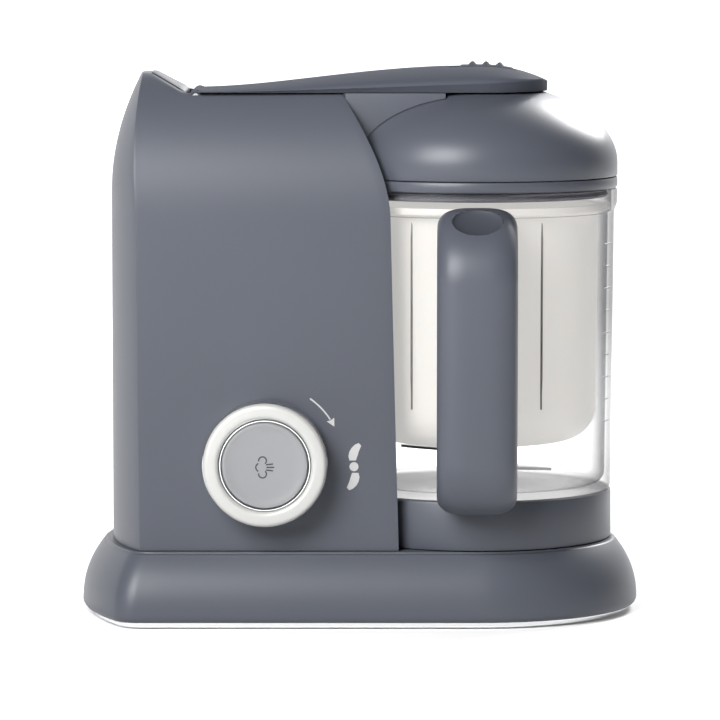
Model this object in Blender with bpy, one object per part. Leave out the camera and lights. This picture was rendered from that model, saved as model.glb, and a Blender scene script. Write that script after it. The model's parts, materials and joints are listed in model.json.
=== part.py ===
"""Baby food maker: a steam cooker and blender in one housing.

A body with the boiler and the motor stands on the left of a plinth, a clear
jug with a steam basket stands on the right, and a domed lid on a long arm
hinges at the top left.  Metres, +Z up, front towards -Y, +X to the right.
The origin is on the ground, under the middle of the whole machine's box.
"""

import math

import bmesh
import bpy
from mathutils import Matrix, Vector

# Clearances and walls
FIT = 0.0003
WALL = 0.0026

# Sides of the large turned pieces
ROUND = 32

# Plinth: straight front and back, a round right end and a shallow left end
HALF_LENGTH = 0.1325
JUG_X = 0.0555
PLINTH_HALF_DEPTH = HALF_LENGTH - JUG_X
PLINTH_LEFT_RADIUS = 0.1486
PLINTH_TOP = 0.035
HANDLE_REACH = 0.104

# The machine's own mid-plane lies behind the middle of its box
MID_Y = (HANDLE_REACH - PLINTH_HALF_DEPTH) / 2

# Body
BODY_LEFT = -0.118
BODY_LEFT_RADIUS = 0.131
BODY_HALF_DEPTH = 0.0615
BODY_ROLL_START = 0.188
BODY_ROLL_HALF = 0.059
BODY_ROLL_RISE = 0.0715
BODY_HOLLOW = 0.072
DECK = 0.2472
PEAK_X = -0.0985
PEAK = 0.2563
SPLIT_Y = 0.040
GLAND_CENTRE = (-0.085, 0.0, 0.052)
GLAND_BORE = 0.0034

# Lid
HINGE_X = -0.077
KNUCKLE_HALF = 0.0315
HINGE_Z = 0.2458
ARM_LEFT = -0.0755
ARM_HALF = 0.037
ARM_END = 0.0335
ARM_BOTTOM = 0.2475
DOME_RADIUS = 0.067
DOME_BOTTOM = 0.2073
DOME_SPRING = 0.2135
DOME_RISE = 0.038
NECK_HALF = 0.0358
NECK_RADIUS = 0.0714

# Jug
JUG_TOP = 0.2016
JUG_RADIUS = 0.0655
JUG_FOOT_RADIUS = 0.0644
JUG_FOOT = 0.0584
JUG_FLOOR = 0.0612
JUG_WALL = 0.003
COLLAR_RADIUS = 0.0645
COLLAR_FOOT = 0.0353
COLLAR_TOP = 0.0581
RIM_RECESS = 0.0642
BASKET_RADIUS = 0.0577
BASKET_BOTTOM = 0.0813
BASKET_CORNER = 0.0165
BASKET_WALL = 0.0018
HANDLE_HALF_WIDTH = 0.0185
HANDLE_HALF_DEPTH = 0.0088
HANDLE_TOP = 0.1855
HANDLE_FOOT = 0.0628

# The jug stands turned a little towards the body
HANDLE_TURN = -1.15

# Controls
KNOB_X = -0.044
KNOB_Z = 0.077
KNOB_RADIUS = 0.029
KNOB_DEPTH = 0.0175
KNOB_HOLE = 0.0203
BUTTON_RADIUS = 0.0201

# Drive
MOTOR_X = -0.055
MOTOR_Y = 0.008
MOTOR_RADIUS = 0.026
DRIVEN_RADIUS = 0.022
PINION_RADIUS = 0.009
BELT_THICKNESS = 0.0014
BLADE_REACH = 0.036
BLADE_LEVEL = 0.0715
BLADE_THICKNESS = 0.0012
LEFT_WING_RISE = 0.0045
RIGHT_WING_RISE = -0.0045

# Tank
TANK_X = -0.052
TANK_RADIUS = 0.026
MOUTH_RADIUS = 0.015

GREY = (0.155, 0.168, 0.199)
MATERIALS = {
    "grey_shell": (GREY, 0.42, 0.0),
    "grey_lid": (GREY, 0.38, 0.0),
    "dark_rubber": ((0.02, 0.02, 0.022), 0.8, 0.0),
    "dark_plastic": ((0.035, 0.037, 0.042), 0.55, 0.0),
    "silver_trim": ((0.83, 0.84, 0.86), 0.25, 1.0),
    "knob_white": ((0.82, 0.82, 0.80), 0.35, 0.6),
    "button_silver": ((0.62, 0.64, 0.66), 0.35, 0.9),
    "clear": ((0.93, 0.95, 0.96), 0.05, 0.0),
    "cream": ((0.80, 0.77, 0.71), 0.45, 0.0),
    "silicone": ((0.75, 0.75, 0.73), 0.6, 0.0),
    "steel": ((0.60, 0.61, 0.62), 0.3, 1.0),
    "board_green": ((0.03, 0.18, 0.09), 0.5, 0.0),
    "white_plastic": ((0.80, 0.80, 0.78), 0.5, 0.0),
}


def clear_scene():
    for item in list(bpy.data.objects):
        bpy.data.objects.remove(item, do_unlink=True)


def material_for(name, finish):
    colour, roughness, metallic = MATERIALS[finish]
    made = bpy.data.materials.new(name)
    made.use_nodes = True
    shader = made.node_tree.nodes["Principled BSDF"]
    shader.inputs["Base Color"].default_value = (*colour, 1.0)
    shader.inputs["Roughness"].default_value = roughness
    shader.inputs["Metallic"].default_value = metallic
    return made


def empty(name, place, parent=None):
    marker = bpy.data.objects.new(name, None)
    marker.location = place
    marker.parent = parent
    bpy.context.collection.objects.link(marker)
    return marker


def finish_mesh(bm, angle=35.0):
    bmesh.ops.remove_doubles(bm, verts=bm.verts, dist=1e-7)
    bmesh.ops.recalc_face_normals(bm, faces=bm.faces)
    mesh = bpy.data.meshes.new("mesh")
    bm.to_mesh(mesh)
    bm.free()
    mesh.shade_smooth()
    mesh.set_sharp_from_angle(angle=math.radians(angle))
    return mesh


def node(name, bm, finish, parent, pivot=(0.0, 0.0, 0.0)):
    """One piece, drawn in machine coordinates and hung on its body's empty."""
    bmesh.ops.translate(bm, verts=bm.verts, vec=-Vector(pivot))
    piece = bpy.data.objects.new(name, finish_mesh(bm))
    piece.data.materials.append(material_for(name, finish))
    piece.parent = parent
    bpy.context.collection.objects.link(piece)
    return piece


def cutter(name, bm, piece, operation="DIFFERENCE", pivot=(0.0, 0.0, 0.0)):
    """Cut or trim a piece with a hidden solid."""
    bmesh.ops.translate(bm, verts=bm.verts, vec=-Vector(pivot))
    tool = bpy.data.objects.new(name, finish_mesh(bm))
    tool.parent = piece.parent
    tool.hide_render = True
    tool.display_type = "WIRE"
    bpy.context.collection.objects.link(tool)
    cut = piece.modifiers.new(name, "BOOLEAN")
    cut.operation = operation
    cut.solver = "EXACT"
    cut.object = tool
    return tool


# Solids

def add_skin(bm, rings, closed=False):
    """Skin a stack of equal loops, capped at both ends unless it closes."""
    made = [[bm.verts.new(point) for point in ring] for ring in rings]
    pairs = list(zip(made, made[1:]))
    if closed:
        pairs.append((made[-1], made[0]))
    for low, high in pairs:
        count = len(low)
        for i in range(count):
            j = (i + 1) % count
            bm.faces.new((low[i], low[j], high[j], high[i]))
    if not closed:
        bm.faces.new(list(reversed(made[0])))
        bm.faces.new(made[-1])
    return bm


def skin(rings, closed=False):
    return add_skin(bmesh.new(), rings, closed)


def add_prism(bm, outline, low, high):
    return add_skin(bm, [[(x, y, z) for x, y in outline] for z in (low, high)])


def prism(outline, low, high):
    return add_prism(bmesh.new(), outline, low, high)


def add_lathe(bm, profile, centre, segments=48, axis="Z"):
    """Turn an outline of (radius, height) about the Z or the Y axis.

    Height runs forward, towards -Y, on the Y axis.  An outline that starts and
    ends on the axis is a solid; any other is closed into a ring.
    """
    solid = profile[0][0] == 0.0
    body = profile[1:-1] if solid else profile

    def place(radius, height, turn):
        across = radius * math.cos(turn)
        along = radius * math.sin(turn)
        if axis == "Z":
            return Vector(centre) + Vector((across, along, height))
        return Vector(centre) + Vector((across, -height, along))

    turns = [2 * math.pi * k / segments for k in range(segments)]
    rings = [[bm.verts.new(place(r, h, t)) for t in turns] for r, h in body]
    pairs = list(zip(rings, rings[1:]))
    if not solid:
        pairs.append((rings[-1], rings[0]))
    for low, high in pairs:
        for i in range(segments):
            j = (i + 1) % segments
            bm.faces.new((low[i], low[j], high[j], high[i]))
    if solid:
        bm.faces.new(list(reversed(rings[0])))
        bm.faces.new(rings[-1])
    return bm


def lathe(profile, centre, segments=48, axis="Z"):
    return add_lathe(bmesh.new(), profile, centre, segments, axis)


def disc(radius, low, high, edge=0.0):
    """Outline of a plain turned disc with chamfered rims."""
    if not edge:
        return [(0.0, low), (radius, low), (radius, high), (0.0, high)]
    return [(0.0, low), (radius - edge, low), (radius, low + edge),
            (radius, high - edge), (radius - edge, high), (0.0, high)]


def ring(outer, inner, low, high, edge=0.0):
    """Outline of a plain turned ring, with its outer rims chamfered."""
    if not edge:
        return [(outer, low), (outer, high), (inner, high), (inner, low)]
    return [(outer - edge, low), (outer, low + edge), (outer, high - edge),
            (outer - edge, high), (inner, high), (inner, low)]


def add_block(bm, low, high):
    (x0, y0, z0), (x1, y1, z1) = low, high
    outline = [(x0, y0), (x1, y0), (x1, y1), (x0, y1)]
    return add_prism(bm, outline, z0, z1)


def block(low, high):
    return add_block(bmesh.new(), low, high)


def arc(centre, radius, start, end, count):
    """Points along an arc, both ends included; angles in degrees."""
    points = []
    for k in range(count + 1):
        turn = math.radians(start + (end - start) * k / count)
        points.append((centre[0] + radius * math.cos(turn),
                       centre[1] + radius * math.sin(turn)))
    return points


def rounded_box(x0, x1, y0, y1, radius, count=3):
    corners = [((x1 - radius, y0 + radius), -90), ((x1 - radius, y1 - radius), 0),
               ((x0 + radius, y1 - radius), 90), ((x0 + radius, y0 + radius), 180)]
    outline = []
    for centre, start in corners:
        outline += arc(centre, radius, start, start + 90, count)
    return outline


def mirrored(outline):
    """Complete an outline of points with y <= 0, listed left to right."""
    back = [(x, -y) for x, y in reversed(outline) if abs(y) > 1e-6]
    return outline + back


def left_end(radius, centre_x, half_depth, corner, count):
    """Left end arc from the middle to the front edge, with a rounded corner."""
    corner_y = half_depth - corner
    reach = radius - corner
    corner_x = centre_x - math.sqrt(reach ** 2 - corner_y ** 2)
    turn = math.degrees(math.atan2(-corner_y, corner_x - centre_x)) % 360
    points = arc((centre_x, 0.0), radius, 180, turn, count)
    return points + arc((corner_x, -corner_y), corner, turn, 270, 3)[1:]


def plinth_outline(inset):
    """Plan of the plinth, drawn in by the inset all round."""
    half = PLINTH_HALF_DEPTH - inset
    centre_x = -HALF_LENGTH + PLINTH_LEFT_RADIUS
    front = left_end(PLINTH_LEFT_RADIUS - inset, centre_x, half, 0.012, 3)
    front += arc((JUG_X, 0.0), half, -90, 0, 10)
    return mirrored(front)


def body_half_depth(z):
    """Half depth of the body: a slight draft, then a long roll to the top."""
    if z < BODY_ROLL_START:
        draft = (BODY_HALF_DEPTH - BODY_ROLL_HALF) / (BODY_ROLL_START - PLINTH_TOP)
        return BODY_HALF_DEPTH - draft * (z - PLINTH_TOP)
    rise = (z - BODY_ROLL_START) / BODY_ROLL_RISE
    return BODY_ROLL_HALF * math.sqrt(1 - rise ** 2)


def body_lean(z):
    """How far the left side leans in above its shoulder."""
    shoulder = 0.200
    return 4.63 * max(0.0, z - shoulder) ** 2


def body_outline(z, inset=0.0):
    half = body_half_depth(z) - inset
    centre_x = BODY_LEFT + BODY_LEFT_RADIUS + body_lean(z)
    front = left_end(BODY_LEFT_RADIUS - inset, centre_x, half, 0.004, 4)
    hollow = BODY_HOLLOW + inset
    start = 180 + math.degrees(math.asin(half / hollow))
    front += arc((JUG_X, 0.0), hollow, start, 180, 7)
    return mirrored(front)


def body_ring(z, inset=0.0):
    return [(x, y, z) for x, y in body_outline(z, inset)]


def dome_profile(offset, low, high, steps=9):
    """Outside of the dome, grown by the offset, from low up to high."""
    radius = DOME_RADIUS + offset
    rise = DOME_RISE + offset
    top = math.asin((high - DOME_SPRING) / rise)
    points = [(radius, low)]
    for k in range(steps + 1):
        turn = top * k / steps
        points.append((radius * math.cos(turn), DOME_SPRING + rise * math.sin(turn)))
    return points


# Base

def base_pieces(root):
    shell_rings = [(0.0012, 0.0033), (0.0, 0.0060), (0.0006, 0.0130), (0.0028, 0.0210),
                   (0.0065, 0.0285), (0.0118, PLINTH_TOP)]
    outside = [[(x, y, z) for x, y in plinth_outline(inset)] for inset, z in shell_rings]
    shell = node("base_shell", skin(outside), "grey_shell", root)
    hollow_rings = [(0.0036, 0.0020), (0.0034, 0.0120), (0.0120, 0.0310)]
    hollow = [[(x, y, z) for x, y in plinth_outline(inset)] for inset, z in hollow_rings]
    cutter("base_hollow", skin(hollow), shell)
    holes = bmesh.new()
    add_lathe(holes, disc(0.0083, 0.028, 0.040), (JUG_X, 0.0, 0.0), 24)
    add_lathe(holes, disc(0.0060, 0.028, 0.040), (MOTOR_X, MOTOR_Y, 0.0), 16)
    add_block(holes, (-0.1050, -0.0130, 0.028), (-0.0900, 0.0130, 0.040))
    cutter("base_holes", holes, shell)

    trim = [[(x, y, z) for x, y in plinth_outline(inset)]
            for inset, z in ((0.0045, 0.0006), (0.0039, 0.0012), (0.0039, 0.0048),
                             (0.0060, 0.0048), (0.0060, 0.0006))]
    node("base_trim", skin(trim, closed=True), "silver_trim", root)

    plate = node("bottom_plate", prism(plinth_outline(0.0063), 0.0023, 0.0043),
                 "dark_plastic", root)
    slots = bmesh.new()
    for k in range(4):
        x = -0.020 + 0.008 * k
        add_prism(slots, rounded_box(x, x + 0.003, -0.018, 0.018, 0.0012, 1), 0.0, 0.006)
    for x, y in base_screw_places():
        add_lathe(slots, disc(0.0019, 0.0, 0.006), (x, y, 0.0), 8)
    cutter("plate_openings", slots, plate)

    foot = [(0.0, 0.0), (0.0075, 0.0), (0.0082, 0.0008), (0.0082, 0.0020), (0.0, 0.0020)]
    for name, x, y in foot_places():
        node(name, lathe(foot, (x, y, 0.0), 14), "dark_rubber", root)

    screw = [(0.0, 0.0009), (0.0030, 0.0009), (0.0030, 0.0020),
             (0.0016, 0.0020), (0.0016, 0.0120), (0.0, 0.0120)]
    for (x, y), side in zip(base_screw_places(), ("left", "right")):
        node(f"base_screw_{side}", lathe(screw, (x, y, 0.0), 8), "steel", root)

    bearing = [(0.0043, 0.0240), (0.0080, 0.0240), (0.0080, 0.0265), (0.0120, 0.0265),
               (0.0120, 0.0307), (0.0080, 0.0307), (0.0080, 0.0356), (0.0043, 0.0356)]
    node("base_bearing", lathe(bearing, (JUG_X, 0.0, 0.0), 16), "steel", root)


def foot_places():
    return [("foot_front_left", -0.095, -0.052), ("foot_front_right", 0.075, -0.052),
            ("foot_rear_left", -0.095, 0.052), ("foot_rear_right", 0.075, 0.052)]


def base_screw_places():
    return [(-0.112, 0.0), (0.112, 0.0)]


# Body

def body_pieces(root):
    heights = [0.0353, 0.188, 0.204, 0.217, 0.229, 0.239, 0.247, 0.2535, 0.2575]
    housing = node("body_housing", skin([body_ring(z) for z in heights]), "grey_shell", root)

    top = [(-0.160, 0.300), (-0.160, PEAK), (PEAK_X - 0.003, PEAK), (PEAK_X, PEAK - 0.0006),
           (-0.0820, DECK - 0.0004), (-0.0820, DECK), (0.060, DECK), (0.060, 0.300)]
    above = skin([[(x, y, z) for x, z in top] for y in (-0.080, 0.080)])
    cutter("body_above", above, housing)

    inner_heights = [0.030, 0.0353, 0.188, 0.206, 0.223, 0.238]
    inside = [[(x, y, z) for x, y in body_outline(max(z, PLINTH_TOP), WALL)]
              for z in inner_heights]
    cutter("body_inside", skin(inside), housing)
    cutter("body_rear_half", block((-0.2, SPLIT_Y, 0.0), (0.2, 0.2, 0.3)), housing)

    openings = bmesh.new()
    add_prism(openings, rounded_box(-0.0700, -0.0220, -0.027, 0.027, 0.006), 0.2300, 0.2600)
    add_lathe(openings, disc(KNOB_HOLE, 0.050, 0.075), (KNOB_X, 0.0, KNOB_Z), 24, "Y")
    cutter("body_openings", openings, housing)
    notch = block((-0.0818, -KNUCKLE_HALF - 0.0005, 0.2418),
                  (-0.0712, KNUCKLE_HALF + 0.0005, 0.2600))
    cutter("hinge_notch", notch, housing)
    pin_seat = lathe(disc(0.0017, -0.0342, 0.0342), (HINGE_X, 0.0, HINGE_Z), 12, "Y")
    cutter("pin_seat", pin_seat, housing)

    cover = node("rear_cover", skin([body_ring(z) for z in heights]), "grey_shell", root)
    cutter("cover_above", skin([[(x, y, z) for x, z in top] for y in (-0.080, 0.080)]), cover)
    cutter("cover_inside", skin(inside), cover)
    cutter("cover_front_half", block((-0.2, -0.2, 0.0), (0.2, SPLIT_Y + FIT, 0.3)), cover)
    vents = bmesh.new()
    for row in range(2):
        for k in range(7):
            x = -0.076 + 0.0080 * k
            z = 0.075 + 0.034 * row
            add_block(vents, (x, 0.050, z), (x + 0.0025, 0.080, z + 0.026))
    for x, z in cover_screw_places():
        add_lathe(vents, disc(0.0019, -0.080, -0.050), (x, 0.0, z), 10, "Y")
    add_lathe(vents, disc(0.0073, -0.080, -0.050), GLAND_CENTRE, 16, "Y")
    cutter("cover_openings", vents, cover)

    for (x, z), side in zip(cover_screw_places(), ("left", "right")):
        y = body_half_depth(z) + 0.0004
        screw = [(0.0, -y - 0.0014), (0.0024, -y - 0.0014), (0.0032, -y - 0.0008),
                 (0.0032, -y), (0.0015, -y), (0.0015, -y + 0.012), (0.0, -y + 0.012)]
        node(f"cover_screw_{side}", lathe(screw, (x, 0.0, z), 8, "Y"), "steel", root)

    gland = [(0.0, -0.0500), (0.0062, -0.0500), (0.0070, -0.0512), (0.0070, -0.0618),
             (0.0095, -0.0618), (0.0095, -0.0640), (0.0062, -0.0665), (0.0055, -0.0720),
             (0.0, -0.0720)]
    cord_gland = node("cord_gland", lathe(gland, GLAND_CENTRE, 16, "Y"), "dark_rubber", root)
    bore = lathe(disc(GLAND_BORE, -0.080, -0.040), GLAND_CENTRE, 12, "Y")
    cutter("gland_bore", bore, cord_gland)

    slope = [(PEAK_X - 0.0015, PEAK + 0.0004), (PEAK_X + 0.0008, PEAK - 0.0001),
             (-0.0822, DECK + 0.0005), (-0.0822, DECK + 0.0020), (PEAK_X + 0.0006, PEAK + 0.0012)]
    rows = []
    for share in (-1.0, 1.0):
        row = []
        for x, z in slope:
            half = 0.015 + 0.79 * (x - PEAK_X)
            row.append((x, share * max(half, 0.0140), z))
        rows.append(row)
    node("hinge_cover", skin(rows), "grey_shell", root)

    deck = node("top_deck", prism(rounded_box(-0.0697, -0.0223, -0.0267, 0.0267, 0.0057),
                                  0.2432, 0.2470), "dark_plastic", root)
    mouth = bmesh.new()
    add_lathe(mouth, disc(MOUTH_RADIUS + FIT, 0.240, 0.250), (TANK_X, 0.0, 0.0), 24)
    add_block(mouth, (-0.0350, -0.0045, 0.240), (-0.0257, 0.0045, 0.250))
    cutter("deck_openings", mouth, deck)

    node("hinge_pin", lathe(disc(0.0014, -0.0338, 0.0338), (HINGE_X, 0.0, HINGE_Z), 12, "Y"),
         "steel", root)


def cover_screw_places():
    return [(-0.100, 0.150), (-0.005, 0.150)]


# Boiler

def boiler_pieces(root):
    centre = (TANK_X, 0.0, 0.0)
    tank = [(0.0, 0.1750), (0.0240, 0.1750), (TANK_RADIUS, 0.1775), (TANK_RADIUS, 0.2280),
            (0.0240, 0.2325), (MOUTH_RADIUS + 0.0012, 0.2370), (MOUTH_RADIUS + 0.0012, 0.2418),
            (0.0173, 0.2418), (0.0173, 0.2429), (MOUTH_RADIUS, 0.2429), (MOUTH_RADIUS, 0.2366),
            (0.0234, 0.2318), (0.0250, 0.2275), (0.0250, 0.1780), (0.0236, 0.1760), (0.0, 0.1760)]
    node("water_tank", lathe(tank, centre, 20), "steel", root)
    heater = lathe(disc(0.0230, 0.1700, 0.1747), centre, 20)
    plate = node("heater_plate", heater, "steel", root)
    lugs = bmesh.new()
    for y in (-0.010, 0.010):
        corner = (TANK_X - 0.0015, y - 0.0025, 0.1650)
        add_block(lugs, corner, (TANK_X + 0.0015, y + 0.0025, 0.1702))
    cutter("heater_lugs", lugs, plate, "UNION")
    button = [(0.0, 0.1600), (0.0050, 0.1600), (0.0050, 0.1670), (0.0070, 0.1670),
              (0.0070, 0.1697), (0.0, 0.1697)]
    node("thermostat", lathe(button, (TANK_X + 0.012, 0.0, 0.0), 12), "white_plastic", root)


# Drive train

def motor_pieces(root, motor):
    centre = (MOTOR_X, MOTOR_Y, 0.0)
    case = [(0.0033, 0.0450), (0.0240, 0.0450), (MOTOR_RADIUS, 0.0470), (MOTOR_RADIUS, 0.1080),
            (0.0240, 0.1100), (0.0090, 0.1100), (0.0080, 0.1150), (0.0033, 0.1150)]
    node("motor_case", lathe(case, centre, 20), "steel", root)
    mount = [(0.0280, 0.0356), (0.0300, 0.0356), (0.0300, 0.0550), (0.0263, 0.0550),
             (0.0263, 0.0447), (0.0160, 0.0447), (0.0160, 0.0356)]
    node("motor_mount", lathe(mount, centre, 20), "dark_rubber", root)

    shaft = disc(0.0030, 0.0090, 0.1290)
    node("rotor_shaft", lathe(shaft, centre, 12), "steel", motor, centre)
    pulley = [(0.0033, 0.0110), (0.0110, 0.0110), (0.0110, 0.0125), (PINION_RADIUS, 0.0130),
              (PINION_RADIUS, 0.0205), (0.0110, 0.0210), (0.0110, 0.0225), (0.0033, 0.0225)]
    node("motor_pulley", lathe(pulley, centre, 14), "steel", motor, centre)
    fan = node("cooling_fan", lathe(ring(0.0075, 0.0033, 0.1170, 0.1270), centre, 16),
               "dark_plastic", motor, centre)
    fan_level = 0.1220
    pitch = Matrix.Rotation(math.radians(22), 4, "X")
    blades = bmesh.new()
    for k in range(7):
        vane = block((0.0065, -0.0006, -0.0045), (0.0215, 0.0006, 0.0045))
        turn = Matrix.Rotation(2 * math.pi * k / 7, 4, "Z")
        place = Matrix.Translation(Vector(centre) + Vector((0.0, 0.0, fan_level)))
        bmesh.ops.transform(vane, matrix=place @ turn @ pitch, verts=vane.verts)
        mesh = bpy.data.meshes.new("vane")
        vane.to_mesh(mesh)
        vane.free()
        blades.from_mesh(mesh)
        bpy.data.meshes.remove(mesh)
    cutter("fan_blades", blades, fan, "UNION", centre)


def belt_outline(grow):
    """Loop round both pulleys, drawn out by grow."""
    start = Vector((MOTOR_X, MOTOR_Y))
    end = Vector((JUG_X, 0.0))
    span = end - start
    heading = math.degrees(math.atan2(span.y, span.x))
    tilt = math.degrees(math.asin((DRIVEN_RADIUS - PINION_RADIUS) / span.length))
    small = arc(start, PINION_RADIUS + grow, heading + 90 + tilt, heading + 270 - tilt, 10)
    large = arc(end, DRIVEN_RADIUS + grow, heading - 90 - tilt, heading + 90 + tilt, 16)
    return small + large


def drive_pieces(root, drive):
    inner = belt_outline(FIT)
    outer = belt_outline(FIT + BELT_THICKNESS)
    belt = [[(x, y, 0.0135) for x, y in outer], [(x, y, 0.0200) for x, y in outer],
            [(x, y, 0.0200) for x, y in inner], [(x, y, 0.0135) for x, y in inner]]
    node("drive_belt", skin(belt, closed=True), "dark_rubber", root)

    centre = (JUG_X, 0.0, 0.0)
    pulley = [(0.0043, 0.0110), (0.0240, 0.0110), (0.0240, 0.0125), (DRIVEN_RADIUS, 0.0130),
              (DRIVEN_RADIUS, 0.0205), (0.0240, 0.0210), (0.0240, 0.0225), (0.0043, 0.0225)]
    node("driven_pulley", lathe(pulley, centre, 20), "dark_plastic", drive, centre)
    node("drive_shaft", lathe(disc(0.0040, 0.0080, 0.0395, 0.0004), centre, 16),
         "steel", drive, centre)
    dog = node("drive_dog", lathe([(0.0043, 0.0360), (0.0110, 0.0360), (0.0110, 0.0410),
                                   (0.0043, 0.0410)], centre, 16), "dark_plastic", drive, centre)
    cutter("dog_teeth", coupling_teeth(0.0405, 0.0440, 0.0), dog, "UNION", centre)

    coupling = node("blade_coupling", lathe(ring(0.0110, 0.0033, 0.0447, 0.0490), centre, 16),
                    "dark_plastic", drive, centre)
    cutter("coupling_teeth", coupling_teeth(0.0414, 0.0450, 60.0), coupling, "UNION", centre)
    node("blade_shaft", lathe(disc(0.0030, 0.0450, 0.0735, 0.0004), centre, 12),
         "steel", drive, centre)
    hub = [(0.0, 0.0740), (0.0033, 0.0740), (0.0033, 0.0645), (0.0090, 0.0645),
           (0.0085, 0.0755), (0.0060, 0.0778), (0.0, 0.0785)]
    node("blade_hub", lathe(hub, centre, 16), "dark_plastic", drive, centre)
    node("blade", blade_mesh(centre), "steel", drive, centre)


def coupling_teeth(low, high, start):
    teeth = bmesh.new()
    for k in range(3):
        middle = start + 120 * k
        outline = arc((JUG_X, 0.0), 0.0105, middle - 22, middle + 22, 2)
        outline += arc((JUG_X, 0.0), 0.0052, middle + 22, middle - 22, 1)
        add_prism(teeth, outline, low, high)
    return teeth


def blade_mesh(centre):
    """Two curved wings on a ring that sits round the hub.

    The left wing steps up near its root and the right wing steps down.
    """
    reach = BLADE_REACH
    thick = BLADE_THICKNESS
    level = BLADE_LEVEL
    steps = 8
    sides = 20
    hole = 0.0093
    rim = 0.0125
    bm = bmesh.new()
    rims = {}
    for key, radius, z in (("bo", rim, level), ("to", rim, level + thick),
                           ("bi", hole, level), ("ti", hole, level + thick)):
        rims[key] = [bm.verts.new((centre[0] + radius * math.cos(2 * math.pi * k / sides),
                                   radius * math.sin(2 * math.pi * k / sides), z))
                     for k in range(sides)]

    def band(first, second, skip=()):
        for k in range(sides):
            if k in skip:
                continue
            j = (k + 1) % sides
            bm.faces.new((rims[first][k], rims[first][j], rims[second][j], rims[second][k]))

    right_root = (18, 19, 0, 1)
    left_root = (8, 9, 10, 11)
    band("bo", "to", right_root + left_root)
    band("to", "ti")
    band("ti", "bi")
    band("bi", "bo")
    wings = ((1, right_root, RIGHT_WING_RISE), (-1, left_root, LEFT_WING_RISE))
    for facing, root, lift in wings:
        edge = [*root, (root[-1] + 1) % sides]
        low = [rims["bo"][k] for k in edge]
        high = [rims["to"][k] for k in edge]
        for step in range(1, steps + 1):
            share = step / steps
            along = rim + (reach - rim) * share
            sweep = 0.0105 * share ** 1.6
            width = 0.0068 * (1 - 0.72 * share ** 1.5)
            rise = lift * math.sin(min(1.0, share / 0.375) * math.pi / 2)
            new_low = []
            new_high = []
            for k in range(5):
                side = (k / 4 - 0.5) * 2 * width
                x = centre[0] + facing * (along - 0.25 * abs(side))
                y = facing * (side - sweep)
                new_low.append(bm.verts.new((x, y, level + rise)))
                new_high.append(bm.verts.new((x, y, level + thick + rise)))
            for k in range(4):
                bm.faces.new((low[k], low[k + 1], new_low[k + 1], new_low[k]))
                bm.faces.new((high[k + 1], high[k], new_high[k], new_high[k + 1]))
            bm.faces.new((low[0], new_low[0], new_high[0], high[0]))
            bm.faces.new((new_low[4], low[4], high[4], new_high[4]))
            low, high = new_low, new_high
        bm.faces.new(low + list(reversed(high)))
    return bm


# Jug

def jug_outline(grow=0.0):
    """Outside of the jug from the foot to the rim, drawn out by grow."""
    return [(JUG_FOOT_RADIUS - 0.0012 + grow, JUG_FOOT - grow),
            (JUG_FOOT_RADIUS + grow, JUG_FOOT + 0.0012),
            (JUG_RADIUS + grow, 0.1900), (DOME_RADIUS + grow, 0.1950),
            (DOME_RADIUS + grow, JUG_TOP + grow)]


def jug_pieces(jug):
    centre = (JUG_X, 0.0, 0.0)
    inner_foot = JUG_FOOT_RADIUS - JUG_WALL
    recess_foot = 0.1908
    inner = [(RIM_RECESS, JUG_TOP), (RIM_RECESS, recess_foot),
             (JUG_RADIUS - JUG_WALL, recess_foot - 0.0010), (inner_foot, JUG_FLOOR + 0.0050),
             (inner_foot - 0.0015, JUG_FLOOR + 0.0015), (inner_foot - 0.0050, JUG_FLOOR),
             (0.0078, JUG_FLOOR), (0.0078, JUG_FOOT)]
    node("jug_bowl", lathe(jug_outline() + inner, centre, ROUND), "clear", jug, centre)

    edge = 0.0007
    collar = [(COLLAR_RADIUS - edge, COLLAR_FOOT), (COLLAR_RADIUS, COLLAR_FOOT + edge),
              (COLLAR_RADIUS, COLLAR_TOP - edge), (COLLAR_RADIUS - edge, COLLAR_TOP),
              (0.0600, COLLAR_TOP), (0.0600, 0.0550), (0.0140, 0.0550), (0.0140, 0.0520),
              (0.0600, 0.0520), (0.0600, COLLAR_FOOT)]
    node("jug_collar", lathe(collar, centre, ROUND), "grey_shell", jug, centre)

    flange = JUG_FLOOR + FIT
    bush = [(0.0033, 0.0505), (0.0060, 0.0505), (0.0075, 0.0520), (0.0075, flange),
            (0.0115, flange), (0.0110, flange + 0.0019), (0.0033, flange + 0.0023)]
    node("blade_bush", lathe(bush, centre, 16), "steel", jug, centre)
    node("bush_seal", lathe(ring(0.0115, 0.0079, 0.0568, 0.0581), centre, 16),
         "silicone", jug, centre)
    node("bush_nut", lathe(ring(0.0136, 0.0091, 0.0522, 0.0565), centre, 6), "steel", jug, centre)

    basket_pieces(jug, centre)
    handle_pieces(jug, centre)


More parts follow.
